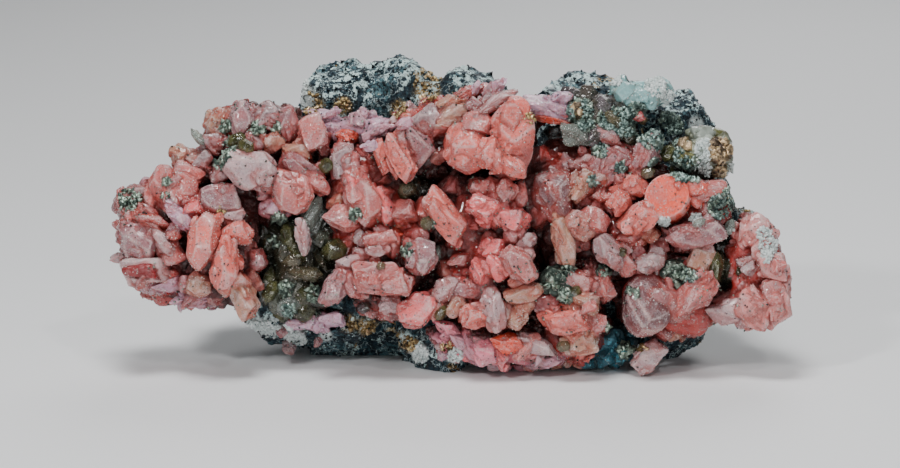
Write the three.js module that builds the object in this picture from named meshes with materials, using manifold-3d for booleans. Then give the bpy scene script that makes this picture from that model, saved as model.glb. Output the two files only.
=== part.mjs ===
// A rhodochrosite specimen: pink lens and block shaped crystals, grown together in groups on the
// front of a dark sulphide rock, with pockets of smoky quartz between them.
// Millimetres, +Z up. The crystal-covered face looks along -Y and leans back. The origin is in the
// middle of the specimen's box, on the surface that it stands on.
import * as THREE from "three";
import { ConvexGeometry } from "three/addons/geometries/ConvexGeometry.js";
import { mergeVertices } from "three/addons/utils/BufferGeometryUtils.js";
import Module from "manifold-3d";

const wasm = await Module();
wasm.setup();

// Driving dimensions. Every crystal is placed on the leaning face: across it, up it and out of it,
// measured from the middle of the line where the face meets the ground.
const FACE_LEAN = THREE.MathUtils.degToRad(12);
const FACE_MIDDLE_X = -0.19;
const FACE_FOOT_Y = -19.46;
const GAP = 0.3; // between a piece and what it is bedded in
const ROUGHNESS = 0.12; // how far a lump's corners stand in and out, as a share of its radius
const GROUND_BLOCK = 200; // the block that the rock is cut off on

// A crystal habit, as the corners of a solid that fills a box from -1 to 1 each way. Length runs
// along x, width along y and depth along z, which points out of the face.
const ring = (count, radius, height, start) =>
  Array.from({ length: count }, (_, k) => {
    const angle = (2 * Math.PI * (k + start)) / count;
    return new THREE.Vector3(radius * Math.cos(angle), radius * Math.sin(angle), height);
  });
const onItsSide = (corners) => corners.map(({ x, y, z }) => new THREE.Vector3(x, -z, y));
const onItsEnd = (corners) => corners.map(({ x, y, z }) => new THREE.Vector3(z, x, y));
const LENS = [
  ...ring(3, 0.5, 1, 0),
  ...ring(3, 1, 0.3, 0),
  ...ring(3, 1, -0.3, 0.5),
  ...ring(1, 0, -1, 0),
];
const HABITS = {
  block: [...ring(4, 1.3, 0.95, 0.44), ...ring(4, 1.3, -0.95, 0.56)],
  rhomb: [
    ...ring(3, 0.7, 1, 0),
    ...ring(3, 1.1, 0.4, 0),
    ...ring(3, 1.1, -0.4, 0.5),
    ...ring(1, 0, -1, 0),
  ],
  hex: [...ring(6, 0.95, 1, 0.1), ...ring(6, 1.05, -1, -0.1)],
  lens: LENS,
  petal: onItsSide(LENS),
  shard: [...ring(3, 0.8, 1, 0.1), ...ring(4, 1.1, -0.4, 0), ...ring(1, 0, -1, 0)],
  point: onItsEnd([...ring(6, 1, -1, 0), ...ring(6, 1, 0.35, 0), ...ring(1, 0, 1, 0)]),
};

// The solid of one row: the habit's corners drawn out to the row's size and turned into place.
function crystal(row, grow) {
  const [across, up, out, length, width, depth, spin, tip, swing, habit] = row;
  const geometry = habit === "lump" ? brokenChunk(across + up) : new ConvexGeometry(HABITS[habit]);
  const half = new THREE.Vector3(length, width, depth).multiplyScalar(0.5).addScalar(grow);
  const turns = [tip, swing, spin].map(THREE.MathUtils.degToRad);
  const turned = new THREE.Quaternion().setFromEuler(new THREE.Euler(...turns, "ZYX"));
  const at = new THREE.Vector3(across, up, out);
  return solidOf(geometry.applyMatrix4(new THREE.Matrix4().compose(at, turned, half)));
}

// A chunk with flat broken faces: the hull of a dodecahedron whose corners stand in and out a
// little, each lump in its own way.
function brokenChunk(variety) {
  const place = new THREE.DodecahedronGeometry(1, 0).getAttribute("position");
  const corners = [];
  for (let i = 0; i < place.count; i++) {
    const corner = new THREE.Vector3().fromBufferAttribute(place, i);
    const rise = Math.sin(7 * corner.x + variety) * Math.cos(5 * corner.y - 3 * corner.z + variety);
    corners.push(corner.multiplyScalar(1 + ROUGHNESS * rise));
  }
  return new ConvexGeometry(corners);
}

function solidOf(geometry) {
  geometry.deleteAttribute("normal");
  geometry.deleteAttribute("uv");
  const merged = mergeVertices(geometry, 1e-4);
  return new wasm.Manifold(
    new wasm.Mesh({
      numProp: 3,
      vertProperties: new Float32Array(merged.getAttribute("position").array),
      triVerts: new Uint32Array(merged.index.array),
    }),
  );
}

function geometryOf(solid) {
  const { vertProperties, triVerts } = solid.getMesh();
  const geometry = new THREE.BufferGeometry();
  geometry.setAttribute("position", new THREE.BufferAttribute(vertProperties, 3));
  geometry.setIndex(new THREE.BufferAttribute(triVerts, 1));
  return geometry;
}

const joined = (rows, grow = 0) =>
  rows.map((row) => crystal(row, grow)).reduce((all, next) => all.add(next));

const largestBody = (solid) =>
  solid.decompose().reduce((best, body) => (body.volume() > best.volume() ? body : best));

// Every row: where the crystal's middle is, across, up and out; its length, width and depth; how it
// is turned, in degrees: spun in the face, tipped about its length and swung about its width; and
// its habit. Each group opens with the lump of massive mineral that its crystals grow from.

// The knob of petals and blocks at the left end.
const LEFT_END = [
  [-45, 24.5, -5.5, 24, 22, 14, 0, 0, 0, "lump"],
  [-55.5, 31, -4, 7.5, 6, 6, 20, 10, 0, "hex"],
  [-50.3, 33, 0, 9.5, 6.5, 5, 78, 15, -15, "lens"],
  [-46, 35.3, -1, 6.5, 5, 5, -30, 20, 10, "block"],
  [-46.3, 32.3, 2, 6.5, 6, 5, 35, 0, 15, "block"],
  [-40.3, 31.4, 3, 8.2, 5.8, 5.5, -8, -10, 0, "block"],
  [-37.8, 28.7, 3.5, 4.6, 2.8, 4, 12, 0, 15, "block"],
  [-47.2, 28.2, 4, 7, 3, 5, -42, 0, 0, "petal"],
  [-42.9, 24.4, 6, 11.2, 5.6, 7, 74, 0, 10, "petal"],
  [-39.2, 19.8, 6.5, 9.4, 4.8, 6.5, 84, 10, 0, "petal"],
  [-37.2, 25.7, 4, 6.6, 4.4, 6, -14, 0, -10, "petal"],
  [-54.6, 24.4, 1.5, 8, 7, 6, -35, 20, -10, "block"],
  [-57.6, 26.8, 0, 6, 2.2, 5, 62, 0, 0, "petal"],
  [-52.5, 27.6, 2.5, 7, 2.4, 5, -16, 0, 0, "petal"],
  [-50.4, 24, 3, 5.6, 2.8, 5, -60, 0, 10, "petal"],
  [-53.2, 18.6, 1.5, 9.6, 5.2, 8, -4, -12, 0, "block"],
  [-49.3, 16.6, -1, 9.5, 4.6, 7, 8, 0, 10, "shard"],
  [-48.4, 21.4, 2, 3.8, 3.2, 3.5, 20, 0, 0, "block"],
  [-44, 16.2, 2.5, 5.6, 4.8, 5, 70, 0, 15, "block"],
  [-45.6, 13.6, -1, 7.4, 2.8, 5, 4, 0, 0, "shard"],
  [-36.4, 14.2, 3, 8.2, 4.4, 5, -64, 10, 0, "block"],
  [-34.9, 20.3, 0.5, 4.8, 4.6, 4.5, 20, 0, -10, "hex"],
  [-47.7, 39.2, -3, 4.4, 3.9, 4, -20, 0, 0, "rhomb"],
];

// The bank of blocks above it, up to the foot of the dark rock.
const UPPER_LEFT = [
  [-33, 38.5, -8, 21, 17, 12, -10, 0, 0, "lump"],
  [-35, 36.8, 4, 9, 7.4, 5, -22, 10, 10, "hex"],
  [-40.1, 36, 2, 4.2, 3.4, 4, 60, 0, 0, "block"],
  [-28.4, 33.4, 3, 10, 7.6, 5, -48, 5, -15, "lens"],
  [-30.8, 30.2, 1, 7.4, 5, 5, 8, 20, 0, "rhomb"],
  [-25.9, 36.6, 1, 10, 5.6, 6, -42, 0, 10, "block"],
  [-27, 39.6, 1.5, 5.4, 2.8, 4, -6, 0, 0, "block"],
  [-24.2, 43, 1.5, 6.8, 5, 5, 98, 0, 15, "block"],
  [-31.8, 45.6, -2, 7.8, 6.6, 6, 40, 10, 0, "rhomb"],
  [-36.6, 45.4, -2, 6.4, 5, 6, 85, 0, 10, "hex"],
  [-40.8, 45, -4, 5.4, 5, 5, 40, 0, 0, "block"],
  [-28.5, 44.3, -1, 6.6, 4, 5, 100, 0, -10, "block"],
  [-41.3, 41.3, -3, 5.2, 3.8, 5, -10, 0, 0, "block"],
  [-22.3, 40.6, -1, 4.4, 2.6, 4, 95, 0, 0, "block"],
  [-44.1, 38.6, -4, 3.8, 3.2, 4, 20, 0, 0, "rhomb"],
  [-42.5, 36.9, -2, 3.8, 3, 4, -30, 0, 0, "rhomb"],
];

// The column of blocks left of the middle.
const MIDDLE_LEFT = [
  [-13, 26, -4, 15, 30, 14, 12, 0, 0, "lump"],
  [-18.5, 38, 1, 7.2, 5.6, 5, 80, 0, 10, "block"],
  [-15, 32, 3, 11, 6.2, 6, -64, 10, -10, "block"],
  [-11.4, 29.6, 2.5, 8.6, 3.8, 5, -72, 0, 10, "petal"],
  [-18.3, 27.8, 3.5, 7.4, 5, 5, -12, 15, 0, "rhomb"],
  [-19.4, 31.2, 1, 4.2, 3.2, 4, 20, 0, 0, "rhomb"],
  [-7.6, 29, 3, 5.8, 5, 5, 10, 0, 0, "rhomb"],
  [-0.9, 28.5, 5, 11, 5, 6, -50, 15, 10, "block"],
  [-4.7, 21.7, 5, 7, 5.8, 5, 68, 0, 15, "hex"],
  [-11.9, 24.3, 3.5, 6.4, 3.4, 4, 4, 0, 0, "block"],
  [-9.6, 23.6, 3, 5.6, 2.4, 4, 90, 0, 0, "petal"],
  [-12, 17.6, 5, 11, 6.8, 6, -12, -12, 8, "block"],
  [-17.4, 20.2, 3, 5.6, 2.8, 4, 14, 0, 0, "block"],
  [-20, 15.9, 4, 8, 4.2, 5, 62, 0, 12, "petal"],
  [-10.6, 13.1, 3, 3.8, 3, 3.5, -30, 0, 0, "block"],
  [-18.2, 42.4, -1, 5, 3.2, 4, -12, 0, 0, "rhomb"],
];

// The large upright crystals under the dark rock's middle, and the cleaved ridge above them.
const TOP_MIDDLE = [
  [2, 42.5, -4, 24, 13, 14, 4, 0, 0, "lump"],
  [10.6, 42, 6, 14.6, 8.4, 7, 84, 10, -12, "lens"],
  [3.3, 40.8, 5.5, 10.4, 9.6, 7, 30, -10, 0, "rhomb"],
  [6.7, 39.5, 9, 5.8, 3.6, 4, 80, 0, 0, "petal"],
  [10.8, 37.1, 9, 6.2, 3.6, 4, -26, 15, 0, "petal"],
  [-6.2, 41.4, 4, 8.6, 5.6, 5.5, -56, 10, 15, "block"],
  [-8.6, 38.6, 5.5, 9.4, 4, 5, -62, 0, -10, "block"],
  [-11.9, 38.8, 4, 6.4, 2.6, 4, 104, 0, 0, "block"],
  [-4, 45.4, 2, 6.6, 4.6, 5, 30, 0, 0, "block"],
  [1, 45.8, 1.5, 6.6, 5.4, 5, 10, 10, 0, "hex"],
  [8, 48.2, 4, 9.6, 2.8, 6, 30, 0, 0, "shard"],
  [3, 50, 0, 6.6, 3, 5, 25, 0, 0, "shard"],
  [0.4, 48.6, 2, 6, 2.4, 4, 10, 0, 0, "shard"],
];

// The mass in the middle, down to its red heart.
const MIDDLE = [
  [5.8, 21, -3, 17, 29, 14, 0, 0, 0, "lump"],
  [8, 13, -1, 12, 10, 10, 0, 0, 0, "lump"],
  [0.9, 33.4, 0, 7, 5.4, 7, 20, 0, 0, "rhomb"],
  [6.6, 29.3, 6, 7.6, 6, 6, -18, 15, 10, "rhomb"],
  [10.6, 27.8, 5.5, 6.8, 4.8, 5, -10, 0, -10, "block"],
  [5.6, 33.6, 4, 5.6, 3, 4, -10, 0, 0, "block"],
  [9.6, 32.8, 5, 4.8, 3.8, 4, 80, 0, 10, "hex"],
  [12.3, 32.2, 3.5, 5, 2.8, 4, 98, 0, 0, "block"],
  [7.8, 22.8, 5, 7, 4.8, 5, 10, 10, 0, "rhomb"],
  [12.1, 20, 7, 7.2, 5, 5, -48, 0, 15, "hex"],
  [5.6, 19, 4.5, 5.6, 4, 5, 84, 0, 0, "rhomb"],
  [8.7, 19.4, 6.5, 5.4, 4.2, 4, -60, 0, 0, "lens"],
  [13, 15.1, 5, 7, 3.4, 5, 10, 15, 0, "block"],
  [11.9, 10.9, 4, 4.6, 3.8, 4, 70, 0, 0, "hex"],
  [7.6, 12.2, 5, 8.2, 5, 5, 104, 0, 10, "lens"],
  [4.1, 10.9, 5.5, 5.8, 5, 5, 50, 0, 0, "rhomb"],
  [-1, 15.4, 4, 6, 3.4, 4, 46, 0, 0, "petal"],
  [3, 15.6, 2, 4.6, 4, 4, 10, 0, 0, "hex"],
  [-5.6, 12, 4, 7, 5.8, 4, 12, 0, 0, "hex"],
];

// The cleaved lower edge, broken to flat magenta faces.
const LOWER_EDGE = [
  [9, 6, -2.5, 24, 7, 8, -6, 0, 0, "lump"],
  [-0.4, 8.8, 2, 5.6, 2.6, 4, -22, 0, 0, "shard"],
  [2.4, 6.4, 1.5, 7.8, 3.2, 4, -32, 0, 0, "shard"],
  [6, 4.6, 2.5, 6.6, 5, 4, -30, 10, 0, "shard"],
  [10.6, 6, 3, 7.6, 4, 4, -14, 0, 10, "shard"],
  [15.2, 5.8, 2.5, 8.4, 3.4, 4, -28, 0, 0, "shard"],
  [17.4, 2.9, 0.5, 6.8, 2.4, 4, 12, 0, 0, "shard"],
];

// The blocks right of the middle, under the quartz.
const RIGHT_BANK = [
  [25.8, 30, -4.5, 24, 24, 14, 0, 0, 0, "lump"],
  [31, 25.4, -0.5, 9, 11, 9, 0, 0, 0, "lump"],
  [18.8, 32.6, 3, 10, 8.6, 6, 106, 10, 10, "lens"],
  [16.3, 38.4, -1, 6, 5.6, 5, 20, 0, 0, "rhomb"],
  [20.8, 37.5, 0, 4.8, 3.8, 4, -50, 0, 0, "block"],
  [14.2, 31.6, 0.5, 8.6, 4, 5, 84, 0, 0, "block"],
  [23.4, 34.2, 4, 7, 2.8, 5, 62, 0, 0, "block"],
  [23.9, 38, 1, 4.6, 2.6, 4, 24, 0, 0, "block"],
  [28.3, 37.2, 2, 8.4, 5, 5, 52, 10, 0, "block"],
  [27.7, 42.6, 0.5, 5.8, 3, 4, -26, 0, 0, "petal"],
  [34.4, 39.8, 2.5, 8, 4.2, 5, 60, 0, 10, "petal"],
  [32.3, 33.8, 4, 5, 4.4, 5, 20, 0, 0, "rhomb"],
  [29.9, 31, 4.5, 5.4, 4.6, 5, 70, 0, 0, "rhomb"],
  [24.8, 27.3, 4.5, 6.6, 5.6, 5, 20, 0, 0, "rhomb"],
  [22.8, 24.4, 2.5, 4.8, 4, 4, -20, 0, 0, "block"],
  [33.2, 28.1, 5.5, 7.6, 4.6, 5, 38, 10, 0, "block"],
  [32.2, 24.8, 4, 5.6, 3.6, 4, 10, 0, 0, "rhomb"],
  [28, 21.9, 5, 7.4, 4.4, 5, -58, 0, 10, "lens"],
  [30.9, 20.6, 3.5, 5.8, 3.4, 4, -76, 0, 0, "block"],
  [34.9, 20.1, 3.5, 5.6, 3.6, 4, 14, 0, 0, "petal"],
  [20, 24, 5, 8.6, 4, 5, -76, 0, 10, "hex"],
];

// The low group right of the middle, above the black hollow.
const LOWER_RIGHT = [
  [21, 11, -4, 12, 16, 13, 10, 0, 0, "lump"],
  [22.8, 6.4, 3, 7, 5, 5, 6, 0, 0, "block"],
  [20.6, 10.1, 4.5, 8.6, 4.6, 5, 6, 10, 0, "block"],
  [23.8, 13.3, 4.5, 6, 4.6, 5, -12, 0, 10, "rhomb"],
  [22.6, 16.8, 3.5, 5.6, 4, 4, -36, 0, 0, "block"],
  [17.2, 13.4, 2.5, 5.2, 4.6, 4, 32, 0, 0, "hex"],
  [27.2, 16, 2, 6.2, 3.6, 4, -74, 0, 0, "block"],
  [25.2, 19, 1, 5, 3, 4, -62, 0, 0, "petal"],
];

// The great shield-shaped crystal low on the right, and the lens beside it.
const SHIELD = [
  [39, 15.5, -4, 17, 15, 13, 0, 0, 0, "lump"],
  [34.3, 12.4, 2.5, 12.6, 10, 8, -62, 5, -14, "lens"],
  [42.8, 14.8, 4.5, 9.8, 5.4, 5.5, 52, 10, 0, "lens"],
  [43.9, 20.4, 3, 5.8, 4.4, 4, 66, 0, 0, "block"],
];

// The pale block at the foot, which touches the ground.
const FOOT_BLOCK = [
  [35.4, 3.6, -1.5, 7.2, 4.8, 6, 38, 0, 0, "block"],
];

// The orange discs in the right-hand quartz, and the block under them.
const DISCS = [
  [41.8, 29.4, -2.6, 14, 10, 13, 0, 0, 0, "lump"],
  [38.4, 31.5, 4.4, 8.2, 7.8, 4.4, 60, -16, 8, "hex"],
  [45.3, 32.5, 3.5, 6.6, 3.6, 5, 22, 10, 0, "lens"],
  [43.6, 25.6, 4.5, 10, 5, 5, 12, 10, 0, "block"],
  [38.9, 25.2, 2, 4.4, 3.4, 4, -40, 0, 0, "block"],
];

// The knob of crystals at the right end.
const RIGHT_END = [
  [53.3, 18.4, -3.5, 10, 19, 13, 0, 0, 0, "lump"],
  [53.4, 25.8, 1.5, 6, 5.4, 5, 60, 0, 10, "hex"],
  [56.7, 19.8, 3, 6.8, 5, 6, -18, 0, 0, "block"],
  [57.2, 13.6, 3, 8.8, 5, 6, 98, 0, 10, "block"],
  [54, 12, 3.5, 8.4, 6.4, 5, -42, 10, 0, "block"],
  [49.2, 12.2, 1, 8, 6.4, 6, -8, 0, 0, "rhomb"],
];

// Lilac, finely broken rhodochrosite where the crystal crust meets the dark rock.
const LILAC_LEFT = [
  [-16.6, 44, -3.5, 14, 4, 6, 4, 0, 0, "lump"],
  [-22.4, 46.2, -3, 7.8, 2.4, 4, -12, 0, 0, "shard"],
  [-12.6, 43.2, -0.5, 8, 3.6, 4, 20, 0, 0, "shard"],
];
const LILAC_RIGHT = [
  [17, 47.4, -0.5, 11, 4, 7, -12, 10, 0, "block"],
  [19.4, 49, -1, 5.4, 2.8, 4, 20, 0, 0, "shard"],
];
const LILAC_LOW = [
  [-25.2, 9.5, -6, 8.4, 2.8, 6, 6, 0, 0, "block"],
  [-20.8, 10.2, -5, 4.6, 2.8, 5, 0, 0, 0, "hex"],
];

// The pale lens that stands alone in the quartz pocket.
const POCKET_LENS = [
  [-25.7, 24.8, 3.5, 6.4, 2.8, 4, 101, 0, 0, "lens"],
];

// Smoky quartz: stubby hexagonal crystals with pointed ends, in the gaps of the pink crust.
const QUARTZ_POCKET = [
  [-26, 20, -6, 15, 18, 11, 0, 0, 0, "lump"],
  [-23.4, 27.6, -0.5, 9, 3.8, 4, 64, 0, 0, "point"],
  [-27.8, 25.8, -1, 6.4, 3, 3.4, 112, 0, 0, "point"],
  [-27, 22.4, 0, 5.6, 2.6, 3, -52, 0, 0, "point"],
  [-25.2, 18.4, 0, 7.4, 2.8, 3.4, -10, 0, 0, "point"],
  [-20.8, 22.4, -0.6, 5.2, 4, 5, 30, 0, 0, "point"],
  [-32.2, 16.6, -2, 6.6, 3.2, 3.6, 74, 0, 0, "point"],
  [-28.6, 12.6, -3, 6, 3.6, 4, 10, 0, 0, "point"],
];
const QUARTZ_MIDDLE = [
  [-7, 33, -1.5, 5, 4.4, 5, 20, 0, 0, "lump"],
  [-7.4, 33, 1.5, 5.2, 3.2, 3.6, 55, 0, 0, "point"],
  [-4.7, 33.1, 1, 4, 2.8, 3.2, 30, 0, 0, "point"],
];
const QUARTZ_UPPER_RIGHT = [
  [25.4, 45, -5, 13, 9, 9.5, 0, 0, 0, "lump"],
  [22, 43, -0.5, 7, 4, 4, -40, 0, 0, "point"],
  [26.9, 48, -3, 4.6, 3.6, 4, 50, 0, 0, "point"],
  [30.9, 43, -1, 7, 2.8, 3.2, -50, 0, 0, "point"],
];
const QUARTZ_PALE = [
  [33.4, 49.8, -5.5, 8.2, 4.8, 6, 8, 0, 0, "lump"],
  [31, 50.4, -3, 4.6, 3, 4, 40, 0, 0, "point"],
  [34.6, 49.6, -3, 4.6, 3.2, 4, -30, 0, 0, "point"],
];
const QUARTZ_RIGHT = [
  [44.4, 38.6, -5, 9, 7.6, 8, 30, 0, 0, "lump"],
  [41.2, 38.5, 0, 7, 2.8, 3.4, -16, 0, 0, "point"],
  [45, 40, -1.5, 5.6, 3.2, 4, 50, 0, 0, "point"],
];
const QUARTZ_LOWER_RIGHT = [
  [49, 21.6, -4.6, 6.4, 13, 9, 0, 0, 0, "lump"],
  [48.9, 26.4, -1, 5, 2.8, 3.4, 80, 0, 0, "point"],
  [47.2, 19, 0.5, 7.6, 3, 3.6, 80, 0, 0, "point"],
  [51.6, 18.4, 0, 5.6, 3.2, 3.6, -26, 0, 0, "point"],
];

// Tetrahedrite: silvery green-black crystals with three-cornered faces, between the pink ones.
const TETRAHEDRITE_LOW = [
  [19.2, 16.4, 1, 6, 6.4, 8, 20, 0, 0, "lump"],
  [18, 17.4, 4.2, 4.4, 3.8, 3.4, 20, 0, 0, "shard"],
  [20.5, 14.4, 4.6, 3.8, 3.4, 3.4, -30, 0, 0, "shard"],
];
const TETRAHEDRITE_RIGHT = [
  [40, 18.6, 0, 5, 5, 7, 0, 0, 0, "lump"],
  [39.4, 19, 3, 3.6, 3.2, 3, 0, 0, 0, "shard"],
];

// A bronze-coloured cluster of pyrite on the rock's right shoulder.
const PYRITE_SHOULDER = [
  [47.2, 40.6, -5, 5.6, 6.4, 6, 60, 0, 0, "shard"],
  [45.6, 37.6, -4.5, 4, 4.4, 6, 20, 0, 0, "shard"],
];

// Dark blue sphalerite at the foot, beside the black hollow.
const BLUE_SPHALERITE = [
  [28, 5.4, -5.5, 9, 6.4, 7, 10, 0, 0, "lump"],
  [27.5, 3.4, -2, 4.4, 3.6, 4, 60, 0, 0, "shard"],
  [24.4, 2.6, -3.5, 4, 2.4, 4, 20, 0, 0, "shard"],
  [31.2, 4.6, -2.5, 4, 3.4, 4, 0, 0, 0, "shard"],
];

// The dark rock, from its back to the lumps that stand above the crystals.
const ROCK = [
  [0, 24, -22.5, 94, 54, 31, 0, 0, 0, "lump"],
  [4, 9, -28, 66, 24, 24, 0, 0, 0, "lump"],
  [-19, 47.8, -16, 20.6, 20.4, 20, 8, 0, 0, "lump"],
  [-9, 49.6, -17, 18.6, 18.6, 22, 20, 0, 0, "lump"],
  [4, 48, -16, 18, 18, 20, -10, 0, 0, "lump"],
  [28, 40.4, -18.5, 42, 31, 29, -6, 0, 0, "lump"],
  [39.4, 42.4, -17, 21, 21, 23, 0, 0, 0, "lump"],
  [42, 31, -17, 19, 34, 25, 20, 0, 0, "lump"],
  [-25, 14, -15, 34, 20, 26, -6, 0, 0, "lump"],
  [-2.6, 6.6, -10, 17, 15, 20, -24, 0, 0, "lump"],
  [38, 12, -15, 20, 20, 24, 30, 0, 0, "lump"],
  [-34, 31, -18, 30, 29, 24, 30, 0, 0, "lump"],
  [51.6, 25.2, -9, 12, 13, 14, -30, 0, 0, "lump"],
];
// Hollows broken out of its foot.
const ROCK_HOLLOWS = [
  [-13, -1, -6, 20, 16, 22, -14, 0, 0, "lump"],
  [27.5, 10, -1, 7, 9, 14, 0, 0, 0, "lump"],
];

const PINK = { color: 0xd98078, roughness: 0.42, metalness: 0 };
const PALE_PINK = { color: 0xdfaea4, roughness: 0.5, metalness: 0 };
const LILAC = { color: 0xc892b4, roughness: 0.45, metalness: 0 };
const SMOKY = { color: 0x6f6d55, roughness: 0.2, metalness: 0 };
const MILKY = { color: 0xbfd2cb, roughness: 0.3, metalness: 0 };
const GREEN_BLACK = { color: 0x5c6a60, roughness: 0.3, metalness: 0.8 };
const BRONZE = { color: 0x9a7a4c, roughness: 0.3, metalness: 0.9 };
const BLUE_BLACK = { color: 0x2c4356, roughness: 0.3, metalness: 0.4 };
const DARK_ROCK = { color: 0x2b363c, roughness: 0.7, metalness: 0.1 };

// In the order in which the pieces are bedded: each one is cut clear of those before it.
const PIECES = [
  ["rhodochrosite_left_end", LEFT_END, PINK],
  ["rhodochrosite_top_middle", TOP_MIDDLE, PINK],
  ["rhodochrosite_right_end", RIGHT_END, PINK],
  ["tetrahedrite_low", TETRAHEDRITE_LOW, GREEN_BLACK],
  ["rhodochrosite_shield", SHIELD, PINK],
  ["tetrahedrite_right", TETRAHEDRITE_RIGHT, GREEN_BLACK],
  ["rhodochrosite_middle_left", MIDDLE_LEFT, PINK],
  ["rhodochrosite_upper_left", UPPER_LEFT, PINK],
  ["rhodochrosite_middle", MIDDLE, PINK],
  ["rhodochrosite_discs", DISCS, PINK],
  ["rhodochrosite_right_bank", RIGHT_BANK, PINK],
  ["rhodochrosite_lower_right", LOWER_RIGHT, PINK],
  ["rhodochrosite_lower_edge", LOWER_EDGE, PINK],
  ["rhodochrosite_foot_block", FOOT_BLOCK, PALE_PINK],
  ["rhodochrosite_pocket_lens", POCKET_LENS, PALE_PINK],
  ["lilac_crust_left", LILAC_LEFT, LILAC],
  ["lilac_crust_right", LILAC_RIGHT, LILAC],
  ["lilac_crust_low", LILAC_LOW, LILAC],
  ["quartz_pocket", QUARTZ_POCKET, SMOKY],
  ["quartz_middle", QUARTZ_MIDDLE, SMOKY],
  ["quartz_upper_right", QUARTZ_UPPER_RIGHT, SMOKY],
  ["quartz_pale", QUARTZ_PALE, MILKY],
  ["pyrite_shoulder", PYRITE_SHOULDER, BRONZE],
  ["quartz_right", QUARTZ_RIGHT, MILKY],
  ["quartz_lower_right", QUARTZ_LOWER_RIGHT, SMOKY],
  ["blue_sphalerite", BLUE_SPHALERITE, BLUE_BLACK],
];

// The ground, as a block whose top is the level that the specimen stands on.
function ground() {
  const block = new THREE.BoxGeometry(GROUND_BLOCK, GROUND_BLOCK, GROUND_BLOCK);
  block.translate(0, 0, -GROUND_BLOCK / 2);
  block.rotateX(FACE_LEAN - Math.PI / 2);
  return solidOf(block);
}

const crystalFace = new THREE.Group();
crystalFace.rotation.x = Math.PI / 2 - FACE_LEAN;
crystalFace.position.set(FACE_MIDDLE_X, FACE_FOOT_Y, 0);

function addPiece(name, solid, material) {
  const mesh = new THREE.Mesh(geometryOf(solid), new THREE.MeshStandardMaterial(material));
  mesh.name = name;
  crystalFace.add(mesh);
}

let bedded = ground();
for (const [name, rows, material] of PIECES) {
  addPiece(name, largestBody(joined(rows).subtract(bedded)), material);
  bedded = bedded.add(joined(rows, GAP));
}
addPiece(
  "matrix_rock",
  largestBody(joined(ROCK).subtract(joined(ROCK_HOLLOWS)).subtract(bedded)),
  DARK_ROCK,
);

const specimen = new THREE.Group();
specimen.add(crystalFace);
export default specimen;
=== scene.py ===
"""The looks of a rhodochrosite specimen: pink crystals and smoky quartz on dark sulphide rock."""
import itertools
import math

import bpy
import numpy as np
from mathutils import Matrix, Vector


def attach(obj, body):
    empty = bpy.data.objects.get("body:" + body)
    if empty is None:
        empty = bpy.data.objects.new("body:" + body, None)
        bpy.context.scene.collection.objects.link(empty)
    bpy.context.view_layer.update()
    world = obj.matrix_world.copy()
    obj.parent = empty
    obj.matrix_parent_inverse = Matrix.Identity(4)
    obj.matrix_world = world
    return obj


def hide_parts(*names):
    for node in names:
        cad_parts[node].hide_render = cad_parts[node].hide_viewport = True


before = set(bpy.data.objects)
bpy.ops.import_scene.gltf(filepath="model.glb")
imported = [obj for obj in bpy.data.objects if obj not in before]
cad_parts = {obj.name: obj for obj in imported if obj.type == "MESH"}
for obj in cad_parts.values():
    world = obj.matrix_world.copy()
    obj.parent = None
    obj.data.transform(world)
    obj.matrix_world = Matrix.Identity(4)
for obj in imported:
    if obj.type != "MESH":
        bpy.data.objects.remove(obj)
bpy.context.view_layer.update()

# Rhodochrosite. Lens and block shaped crystals of manganese carbonate, grown into each other in
# groups: each is a flattened or blocky rhombohedron with curved faces, and carries smaller ones
# that lie nearly parallel to it. A group is one mesh, in which the crystals are joined.

# The crystals cover a face that leans back from the ground. They are placed in millimetres across
# it, up it and out of it, which are the rows of FACE, from the middle of its foot.
MM = 0.001
LEAN = math.radians(12)
FACE_FOOT = np.array([-0.19, -19.46, 0.0])
FACE = np.array([
    [1, 0, 0],
    [0, math.sin(LEAN), math.cos(LEAN)],
    [0, -math.cos(LEAN), math.sin(LEAN)],
])


def in_frame(points):
    """Millimetres on the face to metres in the frame."""
    return (np.asarray(points) @ FACE + FACE_FOOT) * MM


def on_face(points):
    """Metres in the frame to millimetres on the face."""
    return (np.asarray(points) / MM - FACE_FOOT) @ FACE.T


def directions(*angles):
    """Unit vectors from pairs of degrees: round the crystal's axis, and away from it."""
    around, away = np.radians(angles).T
    return np.stack([np.cos(around) * np.sin(away), np.sin(around) * np.sin(away), np.cos(away)], -1)


SIDES = directions((0, 90), (60, 90), (120, 90))
STEEP = directions((0, 50), (120, 50), (240, 50))
FLAT = directions((0, 27), (120, 27), (240, 27))
BOX = np.array([[0.97, 0.22, 0.1], [-0.24, 0.95, 0.18], [0.1, -0.16, 0.98]])
TABLET = np.array([[0.0, 0.0, 1.0]])
HABITS = {  # the faces' directions, and how sharp the edges between them are
    "rhomb": (np.concatenate([STEEP, 0.8 * TABLET]), 30),
    "lens": (np.concatenate([1.25 * FLAT, 0.8 * SIDES]), 15),
    "hex": (np.concatenate([SIDES, 0.95 * TABLET, 0.86 * STEEP]), 30),
    "block": (np.concatenate([BOX, 0.8 * STEEP]), 30),
    "shard": (np.array([[0.8, 0.55, 0.2], [-0.4, 0.8, 0.45], [0.3, -0.4, 0.85], [0.7, -0.6, 0.1]]), 40),
    "massive": (np.eye(3), 2.6),
    "disc": (np.concatenate([directions(*((30 * turn, 90) for turn in range(6))), TABLET]), 16),
    "oval": (np.eye(3), 2.5),
}
HABITS["petal"] = (HABITS["lens"][0][:, [0, 2, 1]], HABITS["lens"][1])


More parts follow.
